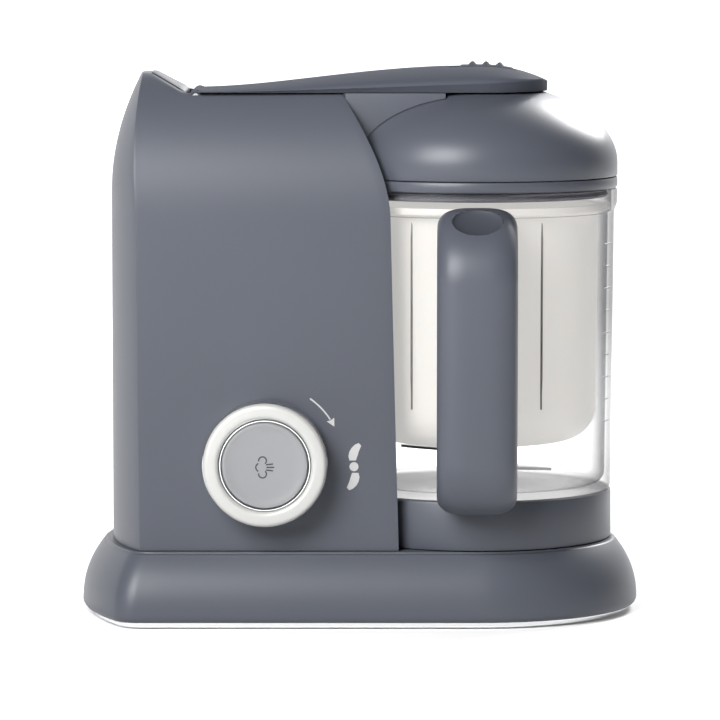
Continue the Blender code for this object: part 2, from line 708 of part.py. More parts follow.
def basket_pieces(jug, centre):
    """Deep basket hung by its flange, with slots for steam through its floor."""
    lower = BASKET_RADIUS - 0.0004
    inner_corner = BASKET_CORNER - BASKET_WALL
    flange_foot = 0.1911
    flange_top = 0.1946
    flange = RIM_RECESS - 2 * FIT
    outside = [(0.0, BASKET_BOTTOM)]
    middle = (lower - BASKET_CORNER, BASKET_BOTTOM + BASKET_CORNER)
    outside += arc(middle, BASKET_CORNER, -90, 0, 4)
    outside += [(BASKET_RADIUS, flange_foot - 0.0008), (flange, flange_foot), (flange, flange_top)]
    inside = [(BASKET_RADIUS - BASKET_WALL, flange_top)]
    inside += arc(middle, inner_corner, 0, -90, 4)
    inside += [(0.0, BASKET_BOTTOM + BASKET_WALL)]
    basket = node("steam_basket", lathe(outside + inside, centre, ROUND), "cream", jug, centre)
    slots = bmesh.new()
    for k in range(6):
        turn = math.radians(60 * k)
        along = Vector((math.cos(turn), math.sin(turn)))
        across = Vector((-along.y, along.x)) * 0.0026
        ends = [along * 0.010 - across, along * 0.028 - across,
                along * 0.028 + across, along * 0.010 + across]
        add_prism(slots, [(JUG_X + end.x, end.y) for end in ends], 0.070, 0.090)
    cutter("basket_slots", slots, basket, "DIFFERENCE", centre)


def handle_path():
    """Stations along the handle: reach, height and heading in degrees."""
    root_reach = 0.0560
    bar_reach = HANDLE_REACH - HANDLE_HALF_DEPTH
    top = HANDLE_TOP
    bottom = HANDLE_FOOT
    upper = 0.0240
    lower = 0.0180
    stations = []
    for k in range(3):
        stations.append((root_reach + (bar_reach - upper - root_reach) * k / 3, top, 0.0))
    for k in range(8):
        turn = math.radians(90 * k / 7)
        stations.append((bar_reach - upper + upper * math.sin(turn),
                         top - upper + upper * math.cos(turn), 90 * k / 7))
    for k in range(1, 4):
        height = top - upper + (bottom + lower - top + upper) * k / 4
        stations.append((bar_reach, height, 90.0))
    for k in range(7):
        turn = math.radians(90 * k / 6)
        stations.append((bar_reach - lower + lower * math.cos(turn),
                         bottom + lower - lower * math.sin(turn), 90 + 90 * k / 6))
    stations.append((root_reach, bottom, 180.0))
    return stations


def bulge(value, power):
    """Sine or cosine raised to a power, with its sign kept."""
    return math.copysign(abs(value) ** power, value)


def handle_pieces(jug, centre):
    turn_about_jug = Matrix.Rotation(math.radians(HANDLE_TURN), 3, "Z")
    sides = 16
    rings = []
    for reach, height, heading in handle_path():
        turn = math.radians(heading)
        outward = Vector((0.0, -math.sin(turn), math.cos(turn)))
        depth = HANDLE_HALF_DEPTH + 0.0012 * max(0.0, 1 - heading / 45)
        loop = []
        for k in range(sides):
            angle = 2 * math.pi * k / sides
            across = bulge(math.cos(angle), 0.62) * HANDLE_HALF_WIDTH
            point = Vector((across, -reach, height))
            point += outward * bulge(math.sin(angle), 0.85) * depth
            loop.append(turn_about_jug @ point + Vector(centre))
        rings.append(loop)
    handle = node("jug_handle", skin(rings), "grey_shell", jug, centre)
    seat = [(0.0, 0.0340), (COLLAR_RADIUS + FIT, 0.0340), (COLLAR_RADIUS + FIT, JUG_FOOT),
            *jug_outline(FIT)[1:], (0.0, JUG_TOP + FIT)]
    cutter("handle_seat", lathe(seat, centre, ROUND), handle, "DIFFERENCE", centre)


# Lid

def arm_side_top(x):
    """Height of the arm's side wall's upper edge."""
    return ARM_BOTTOM + 0.0004 + 0.0056 * max(0.0, (x - ARM_LEFT) / 0.1635) ** 1.15


def arm_crown(x):
    """Height of the arm's middle line."""
    share = (x - ARM_LEFT) / (JUG_X + ARM_END - ARM_LEFT)
    ridge = 0.2487 + 0.0107 * math.sin(min(share / 0.80, 1.0) * math.pi / 2) ** 1.5
    if share > 0.80:
        ridge -= 0.0072 * ((share - 0.80) / 0.20) ** 2.2
    return ridge


def arm_half_width(x):
    if x <= JUG_X:
        return ARM_HALF
    return ARM_HALF * math.sqrt(max(0.0, 1 - ((x - JUG_X) / ARM_END) ** 2))


def arm_height(x, y):
    """Top surface of the arm: a crown that falls to the side wall."""
    half = max(arm_half_width(x), 0.001)
    share = min(1.0, abs(y) / half)
    crown = arm_crown(x)
    side = min(arm_side_top(x), crown - 0.0002)
    return side + (crown - side) * math.sqrt(1 - share ** 2) ** 1.1


def arm_stations():
    straight = [ARM_LEFT + (JUG_X - ARM_LEFT) * k / 10 for k in range(11)]
    round_end = [JUG_X + ARM_END * math.sin(math.radians(a)) for a in (15, 30, 44, 57, 68, 77, 84)]
    return straight + round_end


def arm_mesh():
    rings = []
    spread = [-1.0, -0.96, -0.86, -0.68, -0.45, -0.22, 0.0, 0.22, 0.45, 0.68, 0.86, 0.96, 1.0]
    for x in arm_stations():
        half = arm_half_width(x)
        loop = [(x, share * half, arm_height(x, share * half)) for share in spread]
        loop += [(x, half, ARM_BOTTOM), (x, 0.0, ARM_BOTTOM), (x, -half, ARM_BOTTOM)]
        rings.append(loop)
    return skin(rings)


def lid_pieces(lid):
    pivot = (HINGE_X, 0.0, HINGE_Z)
    centre = (JUG_X, 0.0, 0.0)
    arm = node("lid_arm", arm_mesh(), "grey_lid", lid, pivot)
    knuckle = lathe(disc(0.0031, -KNUCKLE_HALF, KNUCKLE_HALF), pivot, 16, "Y")
    web_half = KNUCKLE_HALF - 0.0004
    web = block((HINGE_X + 0.0005, -web_half, HINGE_Z + 0.0004),
                (HINGE_X + 0.0055, web_half, ARM_BOTTOM + 0.0006))
    cutter("arm_web", web, arm, "UNION", pivot)
    cutter("arm_knuckle", knuckle, arm, "UNION", pivot)
    pin_hole = lathe(disc(0.0017, -0.036, 0.036), pivot, 12, "Y")
    cutter("arm_pin_hole", pin_hole, arm, "DIFFERENCE", pivot)
    pocket = block((0.0420, -0.0113, 0.2540), (0.0737, 0.0113, 0.2700))
    cutter("slider_pocket", pocket, arm, "DIFFERENCE", pivot)
    channel = block((-0.0350, -0.0036, 0.2400), (0.0680, 0.0036, 0.2516))
    cutter("latch_channel", channel, arm, "DIFFERENCE", pivot)
    slot = block((0.0480, -0.0034, 0.2500), (0.0678, 0.0034, 0.2560))
    cutter("stem_slot", slot, arm, "DIFFERENCE", pivot)

    half_turn = math.degrees(math.asin(NECK_HALF / NECK_RADIUS))
    neck_plan = arc((JUG_X, 0.0), NECK_RADIUS, 180 + half_turn, 180 - half_turn, 10)
    neck_plan += [(0.040, NECK_HALF), (0.040, -NECK_HALF)]
    neck = node("lid_neck", prism(neck_plan, 0.2180, ARM_BOTTOM - FIT), "grey_lid", lid, pivot)
    dome_solid = [(0.0, 0.2000)] + dome_profile(2 * FIT, 0.2000, 0.2505, 8) + [(0.0, 0.2505)]
    cutter("neck_dome", lathe(dome_solid, centre, ROUND), neck, "DIFFERENCE", pivot)

    outer = dome_profile(0.0, DOME_BOTTOM, ARM_BOTTOM - FIT, 6)
    inner = dome_profile(-0.0025, DOME_BOTTOM, ARM_BOTTOM - 0.0028, 4)
    dome = [(0.0, ARM_BOTTOM - 0.0028), *reversed(inner), *outer, (0.0, ARM_BOTTOM - FIT)]
    node("lid_dome", lathe(dome, centre, ROUND), "grey_lid", lid, pivot)

    band = [(0.0664, 0.2019), (DOME_RADIUS, 0.2025), (DOME_RADIUS, 0.2066), (0.0666, 0.2070),
            (0.0595, 0.2070), (0.0595, 0.2019)]
    node("lid_band", lathe(band, centre, ROUND), "grey_lid", lid, pivot)
    gasket = [(0.0600, 0.1975), (0.0618, 0.1975), (0.0626, 0.1990), (0.0618, 0.2003),
              (0.0626, 0.2016), (0.0600, 0.2016)]
    node("lid_gasket", lathe(gasket, centre, ROUND), "silicone", lid, pivot)
    nozzle = [(0.0, 0.2320), (0.0080, 0.2320), (0.0100, 0.2345), (0.0100, 0.2400),
              (0.0140, 0.2425), (0.0140, 0.2444), (0.0, 0.2444)]
    node("steam_nozzle", lathe(nozzle, centre, 16), "white_plastic", lid, pivot)
    plug = [(0.0, 0.2440), (0.0125, 0.2440), (0.0142, 0.2452), (0.0142, 0.2472), (0.0, 0.2472)]
    node("tank_plug", lathe(plug, (TANK_X, 0.0, 0.0), 20), "silicone", lid, pivot)


def release_pieces(release, lid):
    tab_rings = []
    for x in (0.0475, 0.0482, 0.0530, 0.0580, 0.0630, 0.0680, 0.0725, 0.0733):
        edge = 0.0009 if x in (0.0475, 0.0733) else 0.0
        loop = []
        for k in range(9):
            y = -0.0110 + 0.0220 * k / 8
            loop.append((x, y, arm_height(x, y) + 0.0004 - edge))
        loop += [(x, 0.0110, 0.2543), (x, 0.0, 0.2543), (x, -0.0110, 0.2543)]
        tab_rings.append(loop)
    tab = node("release_slider", skin(tab_rings), "grey_lid", release)
    ribs = bmesh.new()
    for x in (0.0535, 0.0600, 0.0665):
        rib_rings = []
        for k in range(7):
            y = -0.0085 + 0.0170 * k / 6
            crest = 0.0016 * math.sqrt(1 - (abs(y) / 0.0088) ** 2)
            base = arm_height(x, y)
            rib_rings.append([(x - 0.0015, y, base - 0.0006), (x + 0.0015, y, base - 0.0006),
                              (x + 0.0012, y, base + 0.0002 + crest * 0.6),
                              (x, y, base + 0.0005 + crest),
                              (x - 0.0012, y, base + 0.0002 + crest * 0.6)])
        add_skin(ribs, rib_rings)
    cutter("slider_ribs", ribs, tab, "UNION")
    stem = block((0.0570, -0.0025, 0.2515), (0.0630, 0.0025, 0.2550))
    cutter("slider_stem", stem, tab, "UNION")

    rod = block((-0.0293, -0.0030, 0.2488), (0.0660, 0.0030, 0.2512))
    latch = node("latch_rod", rod, "steel", release)
    hook = skin([[(-0.0290, y, 0.2500), (-0.0260, y, 0.2500), (-0.0260, y, 0.2430),
                  (-0.0262, y, 0.2412), (-0.0290, y, 0.2412)] for y in (-0.0028, 0.0028)])
    cutter("latch_hook", hook, latch, "UNION")

    coils = 3
    turns = 24
    spring = bmesh.new()
    rings = []
    for k in range(turns + 1):
        turn = 2 * math.pi * coils * k / turns
        x = -0.0348 + 0.0052 * k / turns
        middle = Vector((x, 0.0, 0.2500))
        outward = Vector((0.0, math.cos(turn), math.sin(turn)))
        ring_points = []
        for side in range(4):
            angle = math.pi / 2 * side
            ring_points.append(middle + outward * (0.0010 + 0.00018 * math.cos(angle))
                               + Vector((0.00018 * math.sin(angle), 0.0, 0.0)))
        rings.append(ring_points)
    add_skin(spring, rings)
    node("latch_spring", spring, "steel", lid, (HINGE_X, 0.0, HINGE_Z))


# Controls

def control_pieces(root, knob, button):
    centre = (KNOB_X, 0.0, KNOB_Z)
    face = BODY_HALF_DEPTH
    front = face + KNOB_DEPTH
    skirt = [(0.0215, face + 0.0006), (KNOB_RADIUS - 0.0010, face + 0.0006),
             (KNOB_RADIUS, face + 0.0014), (KNOB_RADIUS, front - 0.0040),
             (0.0215, front - 0.0040)]
    node("knob_skirt", lathe(skirt, centre, 32, "Y"), "silver_trim", knob, centre)
    cap = [(0.0214, front - 0.0037), (KNOB_RADIUS - 0.0003, front - 0.0037),
           (KNOB_RADIUS - 0.0005, front - 0.0016), (KNOB_RADIUS - 0.0022, front),
           (0.0222, front), (0.0214, front - 0.0010)]
    node("knob_face", lathe(cap, centre, 32, "Y"), "knob_white", knob, centre)
    sleeve = [(0.0145, 0.0480), (0.0185, 0.0480), (0.0185, face + 0.0030),
              (0.0212, face + 0.0030), (0.0212, face + 0.0060), (0.0145, face + 0.0060)]
    node("knob_sleeve", lathe(sleeve, centre, 20, "Y"), "dark_plastic", knob, centre)

    cap = [(0.0, front - 0.0070), (BUTTON_RADIUS - 0.0004, front - 0.0070),
           (BUTTON_RADIUS, front - 0.0066), (BUTTON_RADIUS, front - 0.0016),
           (BUTTON_RADIUS - 0.0008, front - 0.0008), (0.0, front - 0.0008)]
    node("steam_button", lathe(cap, centre, 28, "Y"), "button_silver", button, centre)
    stem = [(0.0, 0.0450), (0.0040, 0.0450), (0.0040, front - 0.0105), (0.0120, front - 0.0105),
            (0.0120, front - 0.0073), (0.0, front - 0.0073)]
    node("button_stem", lathe(stem, centre, 12, "Y"), "dark_plastic", button, centre)

    spring = bmesh.new()
    rings = []
    turns = 36
    for k in range(turns + 1):
        turn = 2 * math.pi * 4 * k / turns
        middle = Vector(centre) + Vector((0.0, -(0.0470 + 0.0180 * k / turns), 0.0))
        outward = Vector((math.cos(turn), 0.0, math.sin(turn)))
        rings.append([middle + outward * (0.0080 + 0.0005 * math.cos(math.pi / 2 * side))
                      + Vector((0.0, 0.0005 * math.sin(math.pi / 2 * side), 0.0))
                      for side in range(4)])
    add_skin(spring, rings)
    node("button_spring", spring, "steel", root)

    switch = bmesh.new()
    add_prism(switch, rounded_box(KNOB_X - 0.020, KNOB_X + 0.020, -0.0460, -0.0380, 0.002),
              KNOB_Z - 0.020, KNOB_Z + 0.020)
    blend = node("blend_switch", switch, "white_plastic", root)
    cutter("blend_switch_bore", lathe(disc(0.0050, 0.030, 0.050), centre, 16, "Y"), blend)
    node("steam_switch", block((KNOB_X - 0.007, -0.0377, KNOB_Z - 0.005),
                               (KNOB_X + 0.007, -0.0290, KNOB_Z + 0.005)), "dark_plastic", root)
    board = bmesh.new()
    add_block(board, (-0.096, -0.0516, 0.104), (-0.020, -0.0500, 0.158))
    control = node("control_board", board, "board_green", root)
    parts = bmesh.new()
    sizes = ((-0.088, 0.016, 0.014), (-0.066, 0.010, 0.010), (-0.045, 0.014, 0.008))
    for x, width, height in sizes:
        add_block(parts, (x, -0.0504, 0.118), (x + width, -0.0504 + height, 0.136))
    cutter("board_parts", parts, control, "UNION")


def main():
    clear_scene()
    machine = empty("machine", (0.0, MID_Y, 0.0))
    motor = empty("motor_axis", (MOTOR_X, MOTOR_Y, 0.0), machine)
    drive = empty("drive_axis", (JUG_X, 0.0, 0.0), machine)
    jug = empty("jug_axis", (JUG_X, 0.0, 0.0), machine)
    lid = empty("lid_axis", (HINGE_X, 0.0, HINGE_Z), machine)
    knob = empty("knob_axis", (KNOB_X, 0.0, KNOB_Z), machine)
    button = empty("button_axis", (KNOB_X, 0.0, KNOB_Z), machine)
    base_pieces(machine)
    body_pieces(machine)
    boiler_pieces(machine)
    motor_pieces(machine, motor)
    drive_pieces(machine, drive)
    jug_pieces(jug)
    lid_pieces(lid)
    release_pieces(machine, lid)
    control_pieces(machine, knob, button)


main()
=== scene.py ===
import json
import math

import bmesh
import bpy
from mathutils import Matrix, Vector


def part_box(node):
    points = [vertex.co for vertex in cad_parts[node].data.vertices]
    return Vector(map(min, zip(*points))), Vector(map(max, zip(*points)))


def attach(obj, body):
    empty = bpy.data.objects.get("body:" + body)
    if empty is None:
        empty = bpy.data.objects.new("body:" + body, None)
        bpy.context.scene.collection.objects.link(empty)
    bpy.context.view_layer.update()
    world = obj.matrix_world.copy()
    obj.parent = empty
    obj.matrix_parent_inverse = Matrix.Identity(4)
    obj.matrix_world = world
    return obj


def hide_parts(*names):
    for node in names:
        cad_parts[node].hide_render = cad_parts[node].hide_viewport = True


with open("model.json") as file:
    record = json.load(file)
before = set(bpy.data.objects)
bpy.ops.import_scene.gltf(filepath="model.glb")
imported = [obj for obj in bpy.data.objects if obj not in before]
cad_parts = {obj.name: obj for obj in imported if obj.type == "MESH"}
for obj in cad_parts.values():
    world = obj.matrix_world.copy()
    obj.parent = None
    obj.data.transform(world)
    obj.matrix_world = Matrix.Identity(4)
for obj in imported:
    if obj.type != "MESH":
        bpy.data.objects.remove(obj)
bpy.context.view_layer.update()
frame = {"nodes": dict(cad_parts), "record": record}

# Places and sizes taken from the frame, in metres.
JOINTS = {joint["name"]: joint for joint in frame["record"]["behaviour"]["joints"]}
JUG_X, MID_Y, _ = JOINTS["jug_twist"]["pos_m"]
HINGE_X, _, HINGE_Z = JOINTS["lid_hinge"]["pos_m"]
KNOB_X, _, KNOB_Z = JOINTS["knob_turn"]["pos_m"]


def low(node):
    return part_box(node)[0]


def high(node):
    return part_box(node)[1]


PLINTH_LEFT = low("base_shell")[0]
PLINTH_RIGHT = high("base_shell")[0]
PLINTH_HALF = PLINTH_RIGHT - JUG_X
PLINTH_TOP = high("base_shell")[2]
PLINTH_FOOT = low("base_shell")[2]
BODY_LEFT = low("body_housing")[0]
BODY_HALF = MID_Y - low("body_housing")[1]
BODY_FOOT = low("body_housing")[2]
PEAK = high("body_housing")[2]
DECK = high("top_deck")[2] + 0.0002
SPLIT = low("rear_cover")[1] - MID_Y
ARM_LEFT = HINGE_X + 0.0015
ARM_HALF = MID_Y - low("lid_arm")[1]
DOME_RADIUS = high("lid_dome")[0] - JUG_X
DOME_FOOT = low("lid_dome")[2]
DOME_TOP = high("lid_dome")[2]
BAND_FOOT = low("lid_band")[2]
BAND_TOP = high("lid_band")[2]
JUG_FOOT = low("jug_bowl")[2]
JUG_TOP = high("jug_bowl")[2]
COLLAR_RADIUS = high("jug_collar")[0] - JUG_X
COLLAR_FOOT = low("jug_collar")[2]
COLLAR_TOP = high("jug_collar")[2]
BASKET_FOOT = low("steam_basket")[2]
HANDLE_REACH = 0.1039
HANDLE_HALF = 0.0185
HANDLE_FOOT = low("jug_handle")[2]
JUG_TURN = Matrix.Rotation(math.radians(-1.15), 3, "Z")
KNOB_RADIUS = high("knob_skirt")[0] - KNOB_X
KNOB_FRONT = MID_Y - low("knob_face")[1]
BUTTON_RADIUS = high("steam_button")[0] - KNOB_X
BUTTON_FRONT = MID_Y - low("steam_button")[1]

# Middles, measured from the machine's mid-plane.
JUG_CENTRE = (JUG_X, 0.0, 0.0)
KNOB_CENTRE = (KNOB_X, 0.0, KNOB_Z)
HINGE_CENTRE = (HINGE_X, 0.0, HINGE_Z)
TANK_CENTRE = (-0.052, 0.0, 0.0)
GLAND_CENTRE = (-0.085, 0.0, 0.052)

FINE = 144
GAP = 0.0003


# Shader maths: a socket that takes part in Python expressions

class Wire:
    """A number running through a material, written as in arithmetic."""

    def __init__(self, paint, socket):
        self.paint = paint
        self.socket = socket

    def _math(self, operation, first, second):
        return self.paint.add("ShaderNodeMath", {"operation": operation}, {0: first, 1: second})

    def __add__(self, other):
        return self._math("ADD", self, other)

    __radd__ = __add__

    def __sub__(self, other):
        return self._math("SUBTRACT", self, other)

    def __rsub__(self, other):
        return self._math("SUBTRACT", other, self)

    def __mul__(self, other):
        return self._math("MULTIPLY", self, other)

    __rmul__ = __mul__

    def __pow__(self, other):
        return self._math("POWER", self, other)


class Paint:
    """One material and the nodes that feed its shader."""

    def __init__(self, name, **constants):
        self.material = bpy.data.materials.new(name)
        self.material.use_nodes = True
        self.tree = self.material.node_tree
        self.shader = self.tree.nodes["Principled BSDF"]
        for socket, value in constants.items():
            self.shader.inputs[socket.replace("_", " ")].default_value = value

    def add(self, kind, settings=None, inputs=None, output=0):
        made = self.tree.nodes.new(kind)
        for key, value in (settings or {}).items():
            setattr(made, key, value)
        for key, value in (inputs or {}).items():
            self.join(value, made.inputs[key])
        return Wire(self, made.outputs[output])

    def join(self, value, socket):
        if isinstance(value, Wire):
            self.tree.links.new(value.socket, socket)
        else:
            socket.default_value = value

    def place(self, stretch=(1.0, 1.0, 1.0)):
        """Position on the object, in metres, stretched along each axis."""
        where = self.add("ShaderNodeTexCoord", output="Object")
        return self.add("ShaderNodeMapping", {}, {"Vector": where, "Scale": stretch})

    def noise(self, where, scale, detail=3.0, roughness=0.5):
        return self.add("ShaderNodeTexNoise", {}, {"Vector": where, "Scale": scale,
                                                   "Detail": detail, "Roughness": roughness})

    def mix(self, factor, first, second):
        made = self.tree.nodes.new("ShaderNodeMix")
        made.data_type = "RGBA"
        self.join(factor, made.inputs["Factor"])
        self.join(first, made.inputs[6])
        self.join(second, made.inputs[7])
        return Wire(self, made.outputs[2])

    def colour(self, value):
        self.join(value, self.shader.inputs["Base Color"])

    def roughness(self, value):
        self.join(value, self.shader.inputs["Roughness"])

    def tones(self, factor, colour, least, most):
        """Let the colour drift between two shades of itself."""
        self.colour(self.mix(factor, rgba(shade(colour, least)), rgba(shade(colour, most))))

    def bump(self, height, strength, distance):
        bumped = self.add("ShaderNodeBump", {}, {"Height": height, "Strength": strength,
                                                 "Distance": distance})
        self.join(bumped, self.shader.inputs["Normal"])


def rgba(colour):
    return (*colour, 1.0)


def shade(colour, factor):
    return tuple(min(1.0, part * factor) for part in colour)


def satin_plastic(name, colour, roughness, grain=0.25, gloss=0.30, index=1.46):
    """Moulded plastic with a fine spark-eroded grain and slow tone changes."""
    paint = Paint(name, IOR=index, Specular_IOR_Level=gloss)
    where = paint.place()
    cloud = paint.noise(where, 14.0, 2.0)
    fine = paint.noise(where, 2600.0, 2.0, 0.6)
    paint.tones(cloud, colour, 0.965, 1.035)
    paint.roughness(roughness - 0.05 + cloud * 0.05 + fine * 0.06)
    paint.bump(fine, grain, 0.00006)
    return paint.material


def clear_plastic(name, colour):
    """Thick polished copolyester: clear face on, greyer where it turns away."""
    paint = Paint(name, IOR=1.10, Specular_IOR_Level=0.5)
    wave = paint.noise(paint.place(), 22.0, 1.0)
    paint.tones(wave, colour, 0.9, 1.0)
    paint.roughness(0.03 + wave * 0.03)
    paint.bump(wave, 0.05, 0.0004)
    facing = paint.add("ShaderNodeLayerWeight", {}, {"Blend": 0.5}, "Facing")
    paint.join(facing ** 2.8 * 0.95 + 0.02 + wave * 0.01, paint.shader.inputs["Alpha"])
    return paint.material


def cream_plastic(name):
    """Translucent cream plastic with a painted glow: its emission stands in for light coming through
    the thin wall.
    """
    # Emission Strength and Emission Color paint an even glow onto the basket: painted light, not a
    # lamp
    paint = Paint(name, IOR=1.45, Subsurface_Weight=0.30, Subsurface_Scale=0.004,
                  Specular_IOR_Level=0.30, Emission_Strength=0.54,
                  Emission_Color=(0.94, 0.925, 0.895, 1.0))
    where = paint.place()
    cloud = paint.noise(where, 18.0, 2.0)
    fine = paint.noise(where, 1500.0, 2.0)
    paint.colour(paint.mix(cloud, (0.225, 0.215, 0.20, 1.0), (0.245, 0.235, 0.22, 1.0)))
    paint.roughness(0.30 + fine * 0.10)
    paint.bump(fine, 0.10, 0.00005)
    return paint.material


def bright_metal(name, colour, roughness):
    """Plated trim with a few hairline marks along it."""
    paint = Paint(name, IOR=2.0, Metallic=1.0)
    hair = paint.noise(paint.place((60.0, 60.0, 900.0)), 6.0, 3.0)
    paint.tones(hair, colour, 0.97, 1.0)
    paint.roughness(roughness + hair * 0.08)
    paint.bump(hair, 0.04, 0.00005)
    return paint.material


def turned_metal(name, colour, roughness, metallic, centre, strength=0.15):
    """Metal turned on a lathe about the Y axis: rings about its centre."""
    paint = Paint(name, Metallic=metallic)
    where = paint.add("ShaderNodeTexCoord", output="Object")
    split = paint.tree.nodes.new("ShaderNodeSeparateXYZ")
    paint.join(where, split.inputs[0])
    across = Wire(paint, split.outputs[0]) - centre[0]
    upward = Wire(paint, split.outputs[2]) - centre[1]
    radius = (across * across + upward * upward) ** 0.5
    line = paint.add("ShaderNodeCombineXYZ", {}, {0: radius})
    rings = paint.noise(line, 2600.0, 4.0, 0.7)
    paint.tones(rings, colour, 0.95, 1.03)
    paint.roughness(roughness - 0.04 + rings * 0.10)
    paint.bump(rings, strength, 0.00004)
    return paint.material


def brushed_metal(name, colour, roughness, stretch):
    """Metal brushed along one direction."""
    paint = Paint(name, Metallic=1.0)
    lines = paint.noise(paint.place(stretch), 30.0, 4.0, 0.7)
    paint.tones(lines, colour, 0.90, 1.04)
    paint.roughness(roughness - 0.05 + lines * 0.14)
    paint.bump(lines, 0.12, 0.00005)
    return paint.material


def soft_rubber(name, colour, roughness):
    paint = Paint(name, IOR=1.45, Specular_IOR_Level=0.3)
    where = paint.place()
    dust = paint.noise(where, 300.0, 4.0, 0.6)
    paint.tones(dust, colour, 0.85, 1.25)
    paint.roughness(roughness - 0.06 + dust * 0.12)
    paint.bump(dust, 0.2, 0.0001)
    return paint.material


def printed_ink(name, colour):
    """Pad-printed ink, a little uneven at its surface."""
    paint = Paint(name, Specular_IOR_Level=0.3)
    grain = paint.noise(paint.place(), 1800.0, 3.0)
    paint.tones(grain, colour, 0.94, 1.0)
    paint.roughness(0.45 + grain * 0.15)
    return paint.material


GREY = (0.052, 0.0565, 0.070)
FINISH = {
    "body_plastic": satin_plastic("body_plastic", GREY, 0.40),
    "lid_plastic": satin_plastic("lid_plastic", GREY, 0.36),
    "clear_plastic": clear_plastic("clear_plastic", (0.028, 0.028, 0.036)),
    "cream_plastic": cream_plastic("cream_plastic"),
    "bright_trim": bright_metal("bright_trim", (0.90, 0.91, 0.92), 0.14),
    "knob_finish": turned_metal("knob_finish", (0.37, 0.37, 0.36), 0.40, 0.20,
                                (KNOB_X, KNOB_Z), 0.10),
    "button_finish": turned_metal("button_finish", (0.20, 0.203, 0.21), 0.38, 0.30,
                                  (KNOB_X, KNOB_Z), 0.20),
    "rubber": soft_rubber("rubber", (0.020, 0.020, 0.022), 0.72),
    "silicone": soft_rubber("silicone", (0.115, 0.115, 0.130), 0.55),
    "dark_plastic": satin_plastic("dark_plastic", (0.030, 0.032, 0.037), 0.50, 0.35),
    "white_plastic": satin_plastic("white_plastic", (0.72, 0.72, 0.70), 0.42),
    "board": satin_plastic("board", (0.02, 0.13, 0.06), 0.45, 0.1),
    "steel": brushed_metal("steel", (0.60, 0.61, 0.62), 0.26, (900.0, 60.0, 60.0)),
}
CLEAR_FLOOR = clear_plastic("clear_floor", (0.36, 0.36, 0.37))
WHITE_INK = printed_ink("white_ink", (0.34, 0.34, 0.34))
PALE_INK = printed_ink("pale_ink", (0.13, 0.14, 0.16))
DARK_INK = printed_ink("dark_ink", (0.030, 0.032, 0.037))
ARM_FINISH = satin_plastic("arm_plastic", GREY, 0.60, gloss=0.20, index=1.12)
# Darker cream for the basket's ribs: painted shade, so each rib shows as a thin dark line
RIB_SHADE_FINISH = satin_plastic("rib_plastic", (0.17, 0.165, 0.155), 0.45)
# A darker grey for the thumb dish: painted shade in the hollow
DISH_SHADE_FINISH = satin_plastic("dish_plastic", shade(GREY, 0.72), 0.60, gloss=0.20)


# Mesh building

SHARP_ANGLE = 32.0


def smooth(mesh, angle=SHARP_ANGLE):
    mesh.shade_smooth()
    mesh.set_sharp_from_angle(angle=math.radians(angle))


def link(made):
    bpy.context.scene.collection.objects.link(made)


def finish_mesh(bm, angle):
    bmesh.ops.remove_doubles(bm, verts=bm.verts, dist=1e-7)
    bmesh.ops.recalc_face_normals(bm, faces=bm.faces)
    bmesh.ops.translate(bm, verts=bm.verts, vec=(0.0, MID_Y, 0.0))
    mesh = bpy.data.meshes.new("mesh")
    bm.to_mesh(mesh)
    bm.free()
    smooth(mesh, angle)
    return mesh


def piece(name, bm, slot, body, nodes=(), finish=None, angle=SHARP_ANGLE):
    """A finished piece, drawn about the machine's mid-plane, on its body."""
    made = bpy.data.objects.new(name, finish_mesh(bm, angle))
    made.data.materials.append(finish or FINISH[slot])
    link(made)
    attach(made, body)
    if nodes:
        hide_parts(*nodes)
    return made


def cut(made, bm, operation="DIFFERENCE"):
    """Cut a finished piece with another solid, and keep the result as its mesh."""
    tool = bpy.data.objects.new("tool", finish_mesh(bm, SHARP_ANGLE))
    link(tool)
    step = made.modifiers.new("cut", "BOOLEAN")
    step.operation = operation
    step.solver = "EXACT"
    step.object = tool
    keep_modifiers(made)
    bpy.data.objects.remove(tool, do_unlink=True)
    smooth(made.data)


def keep_modifiers(made):
    bpy.context.view_layer.update()
    graph = bpy.context.evaluated_depsgraph_get()
    mesh = bpy.data.meshes.new_from_object(made.evaluated_get(graph))
    made.modifiers.clear()
    made.data = mesh


def join_rings(bm, rings, closed):
    """Walls between neighbouring rings of corners; open ends get a face each."""
    pairs = list(zip(rings, rings[1:]))
    if closed:
        pairs.append((rings[-1], rings[0]))
    for lower, upper in pairs:
        for i in range(len(lower)):
            j = (i + 1) % len(lower)
            bm.faces.new((lower[i], lower[j], upper[j], upper[i]))
    if not closed:
        bm.faces.new(list(reversed(rings[0])))
        bm.faces.new(rings[-1])
    return bm


def add_skin(bm, rings, closed=False):
    return join_rings(bm, [[bm.verts.new(point) for point in ring] for ring in rings], closed)


def skin(rings, closed=False):
    return add_skin(bmesh.new(), rings, closed)


def add_prism(bm, outline, bottom, top):
    return add_skin(bm, [[(x, y, z) for x, y in outline] for z in (bottom, top)])


def add_block(bm, first, second):
    (x0, y0, z0), (x1, y1, z1) = first, second
    return add_prism(bm, [(x0, y0), (x1, y0), (x1, y1), (x0, y1)], z0, z1)


def block(first, second):
    return add_block(bmesh.new(), first, second)


def add_lathe(bm, profile, centre, segments=FINE, axis="Z"):
    """Turn an outline of (radius, height); one that starts on the axis is solid."""
    solid = profile[0][0] == 0.0
    body = profile[1:-1] if solid else profile

    def place(radius, height, turn):
        across = radius * math.cos(turn)
        along = radius * math.sin(turn)
        if axis == "Z":
            return Vector(centre) + Vector((across, along, height))
        return Vector(centre) + Vector((across, -height, along))

    turns = [2 * math.pi * k / segments for k in range(segments)]
    rings = [[bm.verts.new(place(r, h, t)) for t in turns] for r, h in body]
    return join_rings(bm, rings, not solid)


def lathe(profile, centre, segments=FINE, axis="Z"):
    return add_lathe(bmesh.new(), profile, centre, segments, axis)


def disc(radius, bottom, top):
    return [(0.0, bottom), (radius, bottom), (radius, top), (0.0, top)]


